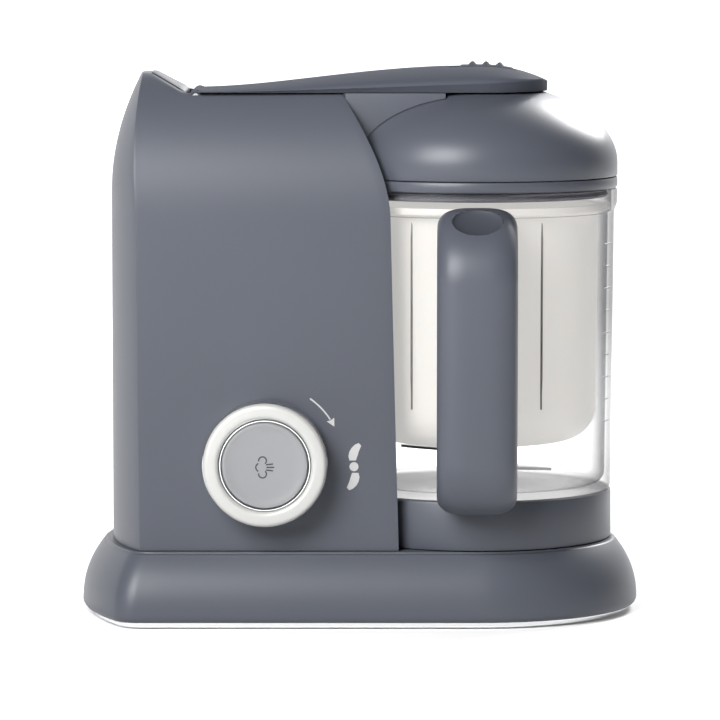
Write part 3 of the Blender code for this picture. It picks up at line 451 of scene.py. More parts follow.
def arc(centre, radius, start, end, count):
    points = []
    for k in range(count + 1):
        turn = math.radians(start + (end - start) * k / count)
        points.append((centre[0] + radius * math.cos(turn),
                       centre[1] + radius * math.sin(turn)))
    return points


def bend(first, corner, last, share):
    """A point on the soft curve from first to last that a corner pulls outward."""
    return first.lerp(corner, share).lerp(corner.lerp(last, share), share)


def rounded(corners, count=4):
    """A closed outline with each (x, y, radius) corner rounded."""
    outline = []
    total = len(corners)
    for k in range(total):
        x, y, radius = corners[k]
        here = Vector((x, y))
        before = Vector(corners[k - 1][:2]) - here
        after = Vector(corners[(k + 1) % total][:2]) - here
        if radius <= 0.0:
            outline.append((x, y))
            continue
        before.normalize()
        after.normalize()
        half = before.angle(after) / 2
        reach = radius / math.tan(half)
        first = here + before * reach
        last = here + after * reach
        for step in range(count + 1):
            point = bend(first, here, last, step / count)
            outline.append((point.x, point.y))
    return outline


def round_box(x0, x1, y0, y1, radius, count=4):
    corners = ((x0, y0), (x1, y0), (x1, y1), (x0, y1))
    return rounded([(x, y, radius) for x, y in corners], count)


def mirrored(front):
    return front + [(x, -y) for x, y in reversed(front) if abs(y) > 1e-7]


# Plinth

PLINTH_LEFT_RADIUS = 0.1486
PLINTH_CORNER = 0.012


def left_end(radius, centre_x, half, corner, count):
    """Shallow left end, from its middle round the front corner."""
    corner_y = half - corner
    corner_x = centre_x - math.sqrt((radius - corner) ** 2 - corner_y ** 2)
    turn = math.degrees(math.atan2(-corner_y, corner_x - centre_x)) % 360
    points = arc((centre_x, 0.0), radius, 180, turn, count)
    return points + arc((corner_x, -corner_y), corner, turn, 270, 12)[1:]


def plinth_outline(inset):
    half = PLINTH_HALF - inset
    front = left_end(PLINTH_LEFT_RADIUS - inset, PLINTH_LEFT + PLINTH_LEFT_RADIUS, half,
                     PLINTH_CORNER, 18)
    start = front[-1][0]
    front += [(start + (JUG_X - start) * k / 12, -half) for k in range(1, 12)]
    front += arc((JUG_X, 0.0), half, -90, 0, 36)
    return mirrored(front)


def plinth_inset(z):
    """How far the flared side has come in at a height."""
    share = max(0.0, (z - 0.006) / (PLINTH_TOP - 0.006))
    return 0.0112 * share ** 2.2


def plinth_rings(levels):
    """The plinth's outline at each (inset, height)."""
    return [[(x, y, z) for x, y in plinth_outline(inset)] for inset, z in levels]


def make_plinth():
    inside = [(0.0145, 0.0313), (0.0120, 0.0310), (0.0060, 0.0210), (0.0036, 0.0120),
              (0.0036, PLINTH_FOOT + 0.0003), (0.0033, PLINTH_FOOT)]
    outside = [(0.0016, PLINTH_FOOT), (0.0011, PLINTH_FOOT + 0.0003), (0.0006, 0.0042),
               (0.0002, 0.0050)]
    outside += [(plinth_inset(z), z) for z in [0.006 + 0.0279 * k / 20 for k in range(21)]]
    shoulder = outside[-1]
    outside += [(shoulder[0] + 0.0012 * math.sin(math.radians(a)) + 0.0004,
                 shoulder[1] + 0.0011 * (1 - math.cos(math.radians(a))))
                for a in (25, 50, 70, 90)]
    outside += [(0.0150, PLINTH_TOP)]
    shell = piece("plinth_shell", skin(plinth_rings(inside + outside)), "body_plastic",
                  "housing", ["base_shell"])
    holes = bmesh.new()
    add_lathe(holes, disc(0.0083, 0.025, 0.040), JUG_CENTRE, 32)
    add_lathe(holes, disc(0.0060, 0.025, 0.040), (-0.055, 0.008, 0.0), 32)
    add_prism(holes, round_box(-0.1050, -0.0900, -0.0130, 0.0130, 0.0015), 0.025, 0.040)
    cut(shell, holes)

    trim = [(0.0048, 0.0006), (0.0042, 0.0009), (0.0039, 0.0014), (0.0039, 0.0046),
            (0.0060, 0.0046), (0.0060, 0.0006)]
    piece("plinth_trim", skin(plinth_rings(trim), closed=True), "bright_trim", "housing",
          ["base_trim"])

    plate = plinth_rings([(0.0072, 0.0023), (0.0064, 0.0028), (0.0064, 0.0042)])
    made = piece("underside_plate", skin(plate), "dark_plastic", "housing", ["bottom_plate"])
    openings = bmesh.new()
    for k in range(4):
        x = -0.020 + 0.008 * k
        add_prism(openings, round_box(x, x + 0.003, -0.018, 0.018, 0.0012), 0.0, 0.006)
    for x in (-0.112, 0.112):
        add_lathe(openings, disc(0.0036, 0.0, 0.0031), (x, 0.0, 0.0), 24)
        add_lathe(openings, disc(0.0019, 0.0, 0.0060), (x, 0.0, 0.0), 24)
    cut(made, openings)


def make_feet():
    for node in [name for name in frame["nodes"] if name.startswith("foot_")]:
        first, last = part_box(node)
        x, y = (first[0] + last[0]) / 2, (first[1] + last[1]) / 2 - MID_Y
        profile = [(0.0, 0.0), (0.0066, 0.0), (0.0073, 0.0002), (0.0079, 0.0008),
                   (0.0080, 0.0020), (0.0, 0.0020)]
        bm = lathe(profile, (x, y, 0.0), 40)
        piece(node.replace("foot", "pad"), bm, "rubber", "housing", [node])


def cross_screw(name, node, centre, axis, head, radius, shank):
    """Pan-head screw with a cross recess; head is the height of its top."""
    rise, thick, stem = (0.0005, 0.0011, 0.0016) if axis == "Z" else (0.0006, 0.0014, 0.0015)
    profile = [(0.0, head), (radius * 0.75, head), (radius, head + rise), (radius, head + thick),
               (stem, head + thick), (stem, shank), (0.0, shank)]
    made = piece(name, lathe(profile, centre, 32, axis), "steel", "housing", [node])
    depth = 0.0007
    for wide, tall in ((0.0036, 0.0008), (0.0008, 0.0036)):
        if axis == "Z":
            slot = block((centre[0] - wide / 2, centre[1] - tall / 2, head - 0.001),
                         (centre[0] + wide / 2, centre[1] + tall / 2, head + depth))
        else:
            slot = block((centre[0] - wide / 2, -head - depth, centre[2] - tall / 2),
                         (centre[0] + wide / 2, -head + 0.001, centre[2] + tall / 2))
        cut(made, slot)


def make_screws():
    for side in ("left", "right"):
        first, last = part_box(f"base_screw_{side}")
        centre = ((first[0] + last[0]) / 2, (first[1] + last[1]) / 2 - MID_Y, 0.0)
        cross_screw(f"plate_screw_{side}", f"base_screw_{side}", centre, "Z", first[2],
                    0.0030, last[2])
        first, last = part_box(f"cover_screw_{side}")
        centre = ((first[0] + last[0]) / 2, 0.0, (first[2] + last[2]) / 2)
        cross_screw(f"rear_screw_{side}", f"cover_screw_{side}", centre, "Y",
                    -(last[1] - MID_Y), 0.0032, -(first[1] - MID_Y))


# Body

BODY_LEFT_RADIUS = 0.131
BODY_HOLLOW = 0.072
ROLL_START = 0.188
ROLL_HALF = 0.059
ROLL_RISE = 0.0715
PEAK_X = -0.0985
SLOPE_FOOT = -0.0820
WALL = 0.0026


def body_half(z):
    if z < ROLL_START:
        draft = (BODY_HALF - ROLL_HALF) / (ROLL_START - PLINTH_TOP)
        return BODY_HALF - draft * (z - PLINTH_TOP)
    return ROLL_HALF * math.sqrt(1 - ((z - ROLL_START) / ROLL_RISE) ** 2)


def body_lean(z):
    """How far the left side has come in, above its shoulder."""
    return 4.63 * max(0.0, z - 0.200) ** 2


def body_left(y, z):
    """Left side: a shallow bulge that leans in above its shoulder."""
    centre = BODY_LEFT + BODY_LEFT_RADIUS + body_lean(z)
    return centre - math.sqrt(BODY_LEFT_RADIUS ** 2 - y * y)


def body_right(y):
    return JUG_X - math.sqrt(BODY_HOLLOW ** 2 - y * y)


def body_x(share, y, z):
    """A share of the way from the left side to the hollow right side."""
    return body_left(y, z) * (1 - share) + body_right(y) * share


def body_top(x):
    """Height of the top: the fin's crest, a slope, then the flat deck."""
    if x <= PEAK_X:
        return PEAK
    if x >= SLOPE_FOOT:
        return DECK
    share = (x - PEAK_X) / (SLOPE_FOOT - PEAK_X)
    return PEAK + (DECK - PEAK) * share


def body_stations():
    """Shares from the left side to the right, closer where the top bends."""
    shares = [0.0, 0.012, 0.03]
    shares += [0.05 + 0.16 * k / 8 for k in range(9)]
    shares += [0.21 + 0.79 * k / 18 for k in range(1, 19)]
    return shares


def body_mesh():
    """Columns of points over the body, how many make one side, and the flat's parts."""
    flats = 20
    fillet = 0.0016
    heights = [BODY_FOOT + (ROLL_START - BODY_FOOT) * k / 10 for k in range(10)]
    count = 24
    columns = []
    for share in body_stations():
        crest = DECK
        for _ in range(8):
            crest = body_top(body_x(share, body_half(crest), crest))
        roll = [ROLL_START + (crest - fillet - ROLL_START) * (1 - (1 - k / count) ** 1.6)
                for k in range(count + 1)]
        side = [(-body_half(z), z) for z in heights + roll]
        first = Vector(side[-1])
        corner = Vector((-body_half(crest), crest))
        last = Vector((-body_half(crest) + fillet * 1.3, crest))
        side += [tuple(bend(first, corner, last, k / 4)) for k in range(1, 5)]
        edge = -side[-1][0]
        points = [(body_x(share, y, z), y, z) for y, z in side]
        for k in range(1, flats):
            y = -edge + 2 * edge * k / flats
            z = crest
            for _ in range(4):
                z = body_top(body_x(share, y, z))
            points.append((body_x(share, y, z), y, z))
        points += [(body_x(share, -y, z), -y, z) for y, z in reversed(side)]
        columns.append(points)
    return columns, len(side), flats


def build_body():
    columns, side, flats = body_mesh()
    bm = bmesh.new()
    verts = [[bm.verts.new(point) for point in column] for column in columns]
    total = len(verts[0])
    for left, right in zip(verts, verts[1:]):
        for k in range(total - 1):
            bm.faces.new((left[k], left[k + 1], right[k + 1], right[k]))
    for column, at_left in ((verts[0], True), (verts[-1], False)):
        previous = None
        for row in range(side):
            front, back = column[row], column[total - 1 - row]
            if row == side - 1:
                line = column[row:total - row]
            else:
                line = [front]
                for k in range(1, flats):
                    y = front.co.y + (back.co.y - front.co.y) * k / flats
                    z = front.co.z
                    x = body_left(y, z) if at_left else body_right(y)
                    line.append(bm.verts.new((x, y, z)))
                line.append(back)
            if previous:
                for k in range(flats):
                    bm.faces.new((previous[k], previous[k + 1], line[k + 1], line[k]))
            else:
                foot_line = line
            previous = line
        if at_left:
            left_foot = foot_line
        else:
            right_foot = foot_line
    front_foot = [column[0] for column in verts]
    back_foot = [column[-1] for column in verts]
    loop = front_foot + right_foot[1:] + list(reversed(back_foot))[1:]
    loop += list(reversed(left_foot))[1:-1]
    bm.faces.new(loop)
    bmesh.ops.recalc_face_normals(bm, faces=bm.faces)
    weight = bm.edges.layers.float.new("bevel_weight_edge")
    for column, amount in ((verts[0], 1.0), (verts[-1], 0.30)):
        for first, second in zip(column, column[1:]):
            edge = bm.edges.get((first, second))
            edge[weight] = amount
    return bm


def round_edges(made, width, segments=4):
    step = made.modifiers.new("rounding", "BEVEL")
    step.width = width
    step.segments = segments
    step.limit_method = "WEIGHT"
    step.harden_normals = False
    keep_modifiers(made)
    smooth(made.data)


def body_hollow():
    """The room inside the body, open below."""
    heights = [0.030] + [0.0353 + (0.238 - 0.0353) * (1 - (1 - k / 16) ** 1.7) for k in range(17)]
    rings = []
    for z in heights:
        half = body_half(max(z, PLINTH_TOP)) - WALL
        front = left_end(BODY_LEFT_RADIUS - WALL, BODY_LEFT + BODY_LEFT_RADIUS
                         + body_lean(z), half, 0.0015, 10)
        hollow = BODY_HOLLOW + WALL
        start = 180 + math.degrees(math.asin(half / hollow))
        front += arc((JUG_X, 0.0), hollow, start, 180, 12)
        rings.append([(x, y, z) for x, y in mirrored(front)])
    return skin(rings)


def make_body():
    front = piece("body_shell", build_body(), "body_plastic", "housing", ["body_housing"])
    round_edges(front, 0.0034)
    front.data.materials.clear()
    front.data.materials.append(FINISH["body_plastic"])
    cut(front, body_hollow())
    cover = front.copy()
    cover.data = front.data.copy()
    cover.name = "back_cover"
    link(cover)
    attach(cover, "housing")
    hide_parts("rear_cover")

    cut(front, block((-0.2, SPLIT - GAP, 0.0), (0.2, 0.2, 0.3)))
    cut(cover, block((-0.2, -0.2, 0.0), (0.2, SPLIT, 0.3)))

    opening = bmesh.new()
    add_prism(opening, round_box(-0.0700, -0.0220, -0.027, 0.027, 0.006), 0.2300, 0.2600)
    cut(front, opening)
    cut(front, lathe(disc(0.0203, 0.050, 0.075), KNOB_CENTRE, 64, "Y"))
    cut(front, block((-0.0818, -0.0320, 0.2418), (-0.0712, 0.0320, 0.2600)))
    cut(front, lathe(disc(0.0017, -0.0342, 0.0342), HINGE_CENTRE, 24, "Y"))

    vents = bmesh.new()
    for row in range(2):
        for k in range(7):
            x = -0.076 + 0.0080 * k
            z = 0.075 + 0.034 * row
            outline = round_box(x, x + 0.0025, z, z + 0.026, 0.0012)
            add_skin(vents, [[(px, y, pz) for px, pz in outline] for y in (0.050, 0.080)])
    cut(cover, vents)
    holes = bmesh.new()
    for x in (-0.100, -0.005):
        add_lathe(holes, disc(0.0019, -0.080, -0.050), (x, 0.0, 0.150), 20, "Y")
    add_lathe(holes, disc(0.0073, -0.080, -0.050), GLAND_CENTRE, 40, "Y")
    cut(cover, holes)


def make_hinge_cover():
    """Slanted panel on the fin, with a lip at its lower edge."""
    rows = []
    count = 14
    start, end = PEAK_X + 0.0002, SLOPE_FOOT - 0.0003
    for k in range(count + 1):
        share = k / count
        x = start + (end - start) * share
        z = body_top(x)
        half = 0.0142 + 0.0128 * share
        rise = 0.0010 * min(1.0, share * 10, (1 - share) * 14 + 0.25)
        ring = []
        for j in range(13):
            y = -half + 2 * half * j / 12
            soft = 0.0006 * max(0.0, abs(y) / half - 0.92) / 0.08
            ring.append((x, y, z + GAP + max(0.00025, rise - soft)))
        ring += [(x, half, z + GAP), (x, -half, z + GAP)]
        rows.append(ring)
    piece("hinge_panel", skin(rows), "body_plastic", "housing", ["hinge_cover"])


def make_deck():
    deck = bmesh.new()
    rings = []
    for inset, z in ((0.0, 0.2432), (0.0, 0.2464), (0.0006, 0.2470)):
        rings.append([(x, y, z) for x, y in
                      round_box(-0.0697 + inset, -0.0223 - inset, -0.0267 + inset,
                                0.0267 - inset, 0.0057, 8)])
    add_skin(deck, rings)
    made = piece("tank_deck", deck, "dark_plastic", "housing", ["top_deck"])
    mouth = lathe([(0.0, 0.2400), (0.0153, 0.2400), (0.0153, 0.2462), (0.0163, 0.2476),
                   (0.0163, 0.2500), (0.0, 0.2500)], TANK_CENTRE, 72)
    cut(made, mouth)
    cut(made, block((-0.0350, -0.0045, 0.240), (-0.0257, 0.0045, 0.250)))

    tank = [(0.0, 0.1750), (0.0240, 0.1750), (0.0260, 0.1775), (0.0260, 0.2280),
            (0.0240, 0.2325), (0.0162, 0.2370), (0.0162, 0.2418), (0.0173, 0.2418),
            (0.0173, 0.2429), (0.0150, 0.2429), (0.0150, 0.2366), (0.0234, 0.2318),
            (0.0250, 0.2275), (0.0250, 0.1780), (0.0236, 0.1760), (0.0, 0.1760)]
    piece("boiler_tank", lathe(tank, TANK_CENTRE, 72), "steel", "housing", ["water_tank"])


def make_gland():
    gland = [(0.0034, -0.0500), (0.0062, -0.0500), (0.0070, -0.0512), (0.0070, -0.0618),
             (0.0092, -0.0618), (0.0095, -0.0621), (0.0095, -0.0637), (0.0090, -0.0643),
             (0.0066, -0.0655), (0.0066, -0.0668), (0.0060, -0.0670), (0.0060, -0.0684),
             (0.0064, -0.0686), (0.0063, -0.0700), (0.0057, -0.0702), (0.0056, -0.0716),
             (0.0052, -0.0720), (0.0037, -0.0720), (0.0034, -0.0716)]
    piece("cord_bush", lathe(gland, GLAND_CENTRE, 48, "Y"), "rubber", "housing",
          ["cord_gland"])


# Printed marks on the body's front

def front_plate(outlines, lift=0.00010):
    """Thin printed shapes lying on the body's drafted front wall."""
    bm = bmesh.new()
    for outline in outlines:
        rings = []
        for depth in (0.00002, lift):
            rings.append([(x, -body_half(z) - depth, z) for x, z in outline])
        add_skin(bm, rings)
    return bm


def ribbon(points, widths):
    """Outline of a line of points drawn with changing width."""
    left = []
    right = []
    for k, (x, z) in enumerate(points):
        before = Vector(points[max(0, k - 1)])
        after = Vector(points[min(len(points) - 1, k + 1)])
        along = (after - before).normalized()
        normal = Vector((-along.y, along.x)) * widths[k] / 2
        left.append((x + normal.x, z + normal.y))
        right.append((x - normal.x, z - normal.y))
    return left + list(reversed(right))


def make_front_marks():
    """A turning arrow over the knob, and a two-winged blade beside it."""
    hub = (KNOB_X, KNOB_Z)
    line = arc(hub, 0.0360, 54.8, 33.0, 16)
    shaft = ribbon(line, [0.0007] * len(line))
    tip = arc(hub, 0.0360, 27.0, 27.0, 1)[0]
    inner, outer = arc(hub, 0.0341, 33.4, 33.4, 1)[0], arc(hub, 0.0380, 32.6, 32.6, 1)[0]
    notch = arc(hub, 0.0360, 32.3, 32.3, 1)[0]
    piece("arrow_mark", front_plate([shaft, [outer, tip, inner, notch]]), "knob_finish",
          "housing", finish=WHITE_INK)

    centre = (KNOB_X + 0.0412, KNOB_Z - 0.0024)
    spine = [(-0.0006, 0.0029), (-0.0006, 0.0046), (-0.0002, 0.0062), (0.0005, 0.0078),
             (0.0016, 0.0093), (0.0028, 0.0104)]
    widths = [0.0030, 0.0040, 0.0042, 0.0038, 0.0030, 0.0017]
    upper = ribbon([(centre[0] + x, centre[1] + z) for x, z in spine], widths)
    lower = ribbon([(centre[0] - x, centre[1] - z) for x, z in spine], widths)
    marks = [upper, lower, arc(centre, 0.0021, 0, 350, 35)]
    piece("blade_mark", front_plate(marks), "knob_finish", "housing", finish=WHITE_INK)


# Controls

def make_knob():
    radius = KNOB_RADIUS
    front = KNOB_FRONT
    back = MID_Y - high("knob_skirt")[1]
    seam = MID_Y - low("knob_skirt")[1]
    skirt = [(0.0215, back), (radius - 0.0012, back), (radius - 0.0004, back + 0.0003),
             (radius, back + 0.0010), (radius, seam - 0.0006), (radius - 0.0004, seam - 0.0001),
             (radius - 0.0008, seam), (0.0215, seam)]
    piece("knob_side", lathe(skirt, KNOB_CENTRE, FINE, "Y"), "bright_trim", "knob", ["knob_skirt"])
    base = seam + GAP
    rim = radius - 0.0003
    face = [(0.0216, base), (rim - 0.0003, base), (rim, base + 0.0004), (rim, front - 0.0026)]
    face += [(rim - 0.0024 + 0.0024 * math.cos(math.radians(a)),
              front - 0.0026 + 0.0024 * math.sin(math.radians(a))) for a in (15, 30, 45, 60, 75, 90)]
    face += [(0.0245, front - 0.0001), (0.0232, front), (0.0226, front - 0.0002),
             (0.0219, front - 0.0008), (0.0214, front - 0.0018), (0.0214, base + 0.0006)]
    piece("knob_ring", lathe(face, KNOB_CENTRE, FINE, "Y"), "knob_finish", "knob", ["knob_face"])
    inner_ring = [(0.0204, front - 0.0060), (0.0211, front - 0.0060), (0.0211, front - 0.0012),
                  (0.0209, front - 0.0009), (0.0206, front - 0.0009), (0.0204, front - 0.0012)]
    piece("knob_inner_ring", lathe(inner_ring, KNOB_CENTRE, FINE, "Y"), "bright_trim", "knob")
    sleeve = [(0.0145, 0.0480), (0.0185, 0.0480), (0.0185, 0.0645), (0.0212, 0.0645),
              (0.0212, 0.0675), (0.0145, 0.0675)]
    piece("knob_tube", lathe(sleeve, KNOB_CENTRE, 64, "Y"), "dark_plastic", "knob", ["knob_sleeve"])

    top = BUTTON_FRONT
    edge = BUTTON_RADIUS
    low_face = -(high("steam_button")[1] - MID_Y)
    button = [(0.0, low_face), (edge - 0.0006, low_face), (edge, low_face + 0.0005),
              (edge, top - 0.0012), (edge - 0.0002, top - 0.0006), (edge - 0.0007, top - 0.0001),
              (edge - 0.0014, top), (edge - 0.0024, top - 0.0002)]
    dish = [(edge - 0.0024) * (1 - k / 8) for k in range(1, 8)]
    button += [(r, top - 0.0002 - 0.0006 * (1 - (r / edge) ** 2)) for r in dish]
    button += [(0.0, top - 0.0008)]
    piece("button_cap", lathe(button, KNOB_CENTRE, FINE, "Y"), "button_finish", "button",
          ["steam_button"])
    steam_mark(top - 0.0008)


def steam_mark(level):
    """Outline of a small cloud, with three short jets to its right."""
    left, height = KNOB_X - 0.0010, KNOB_Z - 0.0008
    lobes = [arc((left, height + 0.0031), 0.0018, -50, 190, 20),
             arc((left - 0.0011, height), 0.0020, 115, 245, 14),
             arc((left, height - 0.0031), 0.0018, 170, 410, 20)]
    jets = [[(left + 0.0016, height + 0.0012), (left + 0.0049, height + 0.0016)],
            [(left + 0.0018, height), (left + 0.0054, height)],
            [(left + 0.0016, height - 0.0012), (left + 0.0049, height - 0.0016)]]
    bm = bmesh.new()
    for k, line in enumerate(lobes + jets):
        outline = ribbon(line, [0.00062] * len(line))
        add_skin(bm, [[(px, -level - depth, pz) for px, pz in outline]
                      for depth in (0.00002, 0.00010 + 0.00002 * (k % 2))])
    piece("steam_mark", bm, "dark_plastic", "button", finish=DARK_INK)


# Jug

JUG_WALL_FOOT = 0.0644
JUG_WALL_TOP = 0.0655
JUG_WALL_END = 0.1895


def jug_outside():
    """Outside of the bowl: foot, slight draft, then the thicker rim band."""
    foot, top, rim = JUG_WALL_FOOT, JUG_WALL_TOP, DOME_RADIUS
    start = JUG_FOOT + 0.0016
    points = [(foot - 0.0020, JUG_FOOT), (foot - 0.0007, JUG_FOOT + 0.0004), (foot, start)]
    for k in range(1, 9):
        share = k / 8
        points.append((foot + (top - foot) * share, start + (JUG_WALL_END - start) * share))
    for k in range(1, 9):
        share = k / 8
        ease = share * share * (3 - 2 * share)
        points.append((top + (rim - top) * ease, JUG_WALL_END + 0.0060 * share))
    points += [(rim, JUG_TOP - 0.0010), (rim - 0.0003, JUG_TOP - 0.0003), (rim - 0.0010, JUG_TOP)]
    return points


def make_jug():
    floor = 0.0612
    wall = 0.0614
    corner = 0.0050
    inner = [(0.0649, JUG_TOP), (0.0643, JUG_TOP - 0.0004), (0.0642, JUG_TOP - 0.0012),
             (0.0642, 0.1914), (0.0638, 0.1906), (0.0625, 0.1900)]
    inner += [(0.0625 + (wall - 0.0625) * k / 8, 0.1900 + (floor + corner - 0.1900) * k / 8)
              for k in range(1, 9)]
    inner += arc((wall - corner, floor + corner), corner, -10, -90, 8)
    inner += [(0.0300, floor), (0.0120, floor), (0.0078, floor), (0.0078, JUG_FOOT)]
    made = piece("jug", lathe(jug_outside() + inner, JUG_CENTRE), "clear_plastic", "jug", ["jug_bowl"])
    made.data.materials.append(CLEAR_FLOOR)
    for face in made.data.polygons:
        if abs(face.normal.z) > 0.9 and face.center.z < 0.0650:
            face.material_index = 1
    jug_scale()

    collar = [(0.0628, COLLAR_FOOT), (COLLAR_RADIUS - 0.0003, COLLAR_FOOT + 0.0002),
              (COLLAR_RADIUS, COLLAR_FOOT + 0.0008), (COLLAR_RADIUS, COLLAR_TOP - 0.0009),
              (COLLAR_RADIUS - 0.0003, COLLAR_TOP - 0.0002), (COLLAR_RADIUS - 0.0009, COLLAR_TOP),
              (0.0600, COLLAR_TOP), (0.0600, 0.0550), (0.0140, 0.0550), (0.0140, 0.0520),
              (0.0600, 0.0520), (0.0600, COLLAR_FOOT)]
    piece("jug_foot", lathe(collar, JUG_CENTRE), "body_plastic", "jug", ["jug_collar"])

    bush = [(0.0033, 0.0505), (0.0060, 0.0505), (0.0075, 0.0520), (0.0075, 0.0615),
            (0.0113, 0.0615), (0.0115, 0.0617), (0.0113, 0.0628), (0.0100, 0.0635),
            (0.0040, 0.0638), (0.0033, 0.0637)]
    piece("jug_bush", lathe(bush, JUG_CENTRE, 72), "steel", "jug", ["blade_bush"])


def jug_scale():
    """Moulded level lines on the right of the bowl, with no figures."""
    bm = bmesh.new()
    for k in range(9):
        z = 0.092 + 0.0105 * k
        share = (z - JUG_FOOT) / (JUG_WALL_END - JUG_FOOT)
        radius = JUG_WALL_FOOT + (JUG_WALL_TOP - JUG_WALL_FOOT) * share
        spread = 4.5 if k % 2 == 0 else 2.6
        rings = []
        for j in range(9):
            turn = math.radians(-20 - spread + 2 * spread * j / 8)
            rings.append([(JUG_X + (radius + lift) * math.cos(turn),
                           (radius + lift) * math.sin(turn), z + rise)
                          for lift, rise in ((0.00002, -0.00035), (0.00020, -0.0002),
                                             (0.00020, 0.0002), (0.00002, 0.00035))])
        add_skin(bm, rings)
    piece("jug_level_lines", bm, "clear_plastic", "jug", finish=PALE_INK)


def make_basket():
    radius = 0.0577
    lower = radius - 0.0004
    corner = 0.0165
    wall = 0.0018
    middle = (lower - corner, BASKET_FOOT + corner)
    outside = [(0.0, BASKET_FOOT), (0.012, BASKET_FOOT), (0.030, BASKET_FOOT)]
    outside += arc(middle, corner, -90, 0, 14)
    outside += [(lower + 0.0004 * k / 6, 0.098 + (0.1890 - 0.098) * k / 6) for k in range(1, 7)]
    outside += [(0.0579, 0.1901), (0.0584, 0.1908), (0.0594, 0.1911), (0.0630, 0.1912),
                (0.0635, 0.1915), (0.0636, 0.1920), (0.0636, 0.1940), (0.0633, 0.1945)]
    inside = [(0.0600, 0.1946), (0.0568, 0.1943), (0.0560, 0.1935)]
    inside += [(radius - wall - 0.0004 * k / 6, 0.1920 - (0.1920 - 0.0980) * k / 6)
               for k in range(7)]
    inside += arc(middle, corner - wall, -4, -90, 14)
    inside += [(0.030, BASKET_FOOT + wall), (0.012, BASKET_FOOT + wall), (0.0, BASKET_FOOT + wall)]
    made = piece("basket", lathe(outside + inside, JUG_CENTRE, 120), "cream_plastic", "jug",
                 ["steam_basket"])
    slots = bmesh.new()
    for k in range(6):
        turn = Matrix.Rotation(math.radians(60 * k), 2)
        outline = [turn @ Vector(point) for point in
                   round_box(0.010, 0.028, -0.0026, 0.0026, 0.0025)]
        add_prism(slots, [(JUG_X + x, y) for x, y in outline], 0.070, 0.090)
    cut(made, slots)

    ribs = bmesh.new()
    for angle in (-123.0, -59.6, 9.0, -191.0, 57.0, 120.4):
        turn = math.radians(angle)
        along = Vector((math.cos(turn), math.sin(turn), 0.0))
        across = Vector((-along.y, along.x, 0.0))
        rings = []
        for k in range(13):
            z = 0.100 + 0.0875 * k / 12
            root = Vector(JUG_CENTRE) + along * (lower + 0.0002) + Vector((0, 0, z))
            crest = root + along * 0.0009 * min(1.0, k / 2.0, (12 - k) / 1.0 + 0.2)
            rings.append([tuple(root - across * 0.0005), tuple(crest - across * 0.0002),
                          tuple(crest + across * 0.0002), tuple(root + across * 0.0005)])
        add_skin(ribs, rings)
    # The ribs take the darker cream: painted shade along each rib
    piece("basket_ribs", ribs, "cream_plastic", "jug", finish=RIB_SHADE_FINISH)


# Handle

HANDLE_DEPTH = 0.0088


def handle_path():
    """Stations down the handle: reach from the jug's axis, height, heading."""
    root = 0.0560
    bar = HANDLE_REACH - HANDLE_DEPTH
    top = 0.1855
    bottom = HANDLE_FOOT + HANDLE_DEPTH
    upper = 0.0240
    lower = 0.0180
    stations = []
    for k in range(8):
        stations.append((root + (bar - upper - root) * k / 8, top, 0.0))
    for k in range(25):
        turn = math.radians(90 * k / 24)
        stations.append((bar - upper + upper * math.sin(turn),
                         top - upper + upper * math.cos(turn), 90 * k / 24))
    for k in range(1, 24):
        stations.append((bar, top - upper + (bottom + lower - top + upper) * k / 24, 90.0))
    for k in range(19):
        turn = math.radians(90 * k / 18)
        stations.append((bar - lower + lower * math.cos(turn),
                         bottom + lower - lower * math.sin(turn), 90 + 90 * k / 18))
    for k in range(1, 6):
        stations.append((bar - lower + (root - bar + lower) * k / 5, bottom, 180.0))
    return stations


DISH_TILT = math.radians(27.5)
DISH_NORMAL = Vector((0.0, -math.sin(DISH_TILT), math.cos(DISH_TILT)))
DISH_ALONG = Vector((0.0, -math.cos(DISH_TILT), -math.sin(DISH_TILT)))
DISH_CENTRE = Vector((0.0, -0.0712, 0.1615)) + DISH_NORMAL * 0.0326
DISH_SIZE = (0.0116, 0.0112, 0.0032)


def dish_place(point):
    """A point in the dish's own measure, where its surface lies at 1."""
    spot = JUG_TURN.inverted() @ (point - Vector(JUG_CENTRE)) - DISH_CENTRE
    return Vector((spot.x / DISH_SIZE[0], spot.dot(DISH_ALONG) / DISH_SIZE[1],
                   spot.dot(DISH_NORMAL) / DISH_SIZE[2]))


def thumb_dish():
    """The oval hollow for the thumb, as a solid to cut with."""
    bm = bmesh.new()
    bmesh.ops.create_uvsphere(bm, u_segments=64, v_segments=32, radius=1.0)
    for vert in bm.verts:
        spot = DISH_CENTRE + Vector((vert.co.x * DISH_SIZE[0], 0.0, 0.0))
        spot += DISH_ALONG * vert.co.y * DISH_SIZE[1] + DISH_NORMAL * vert.co.z * DISH_SIZE[2]
        vert.co = JUG_TURN @ spot + Vector(JUG_CENTRE)
    return bm


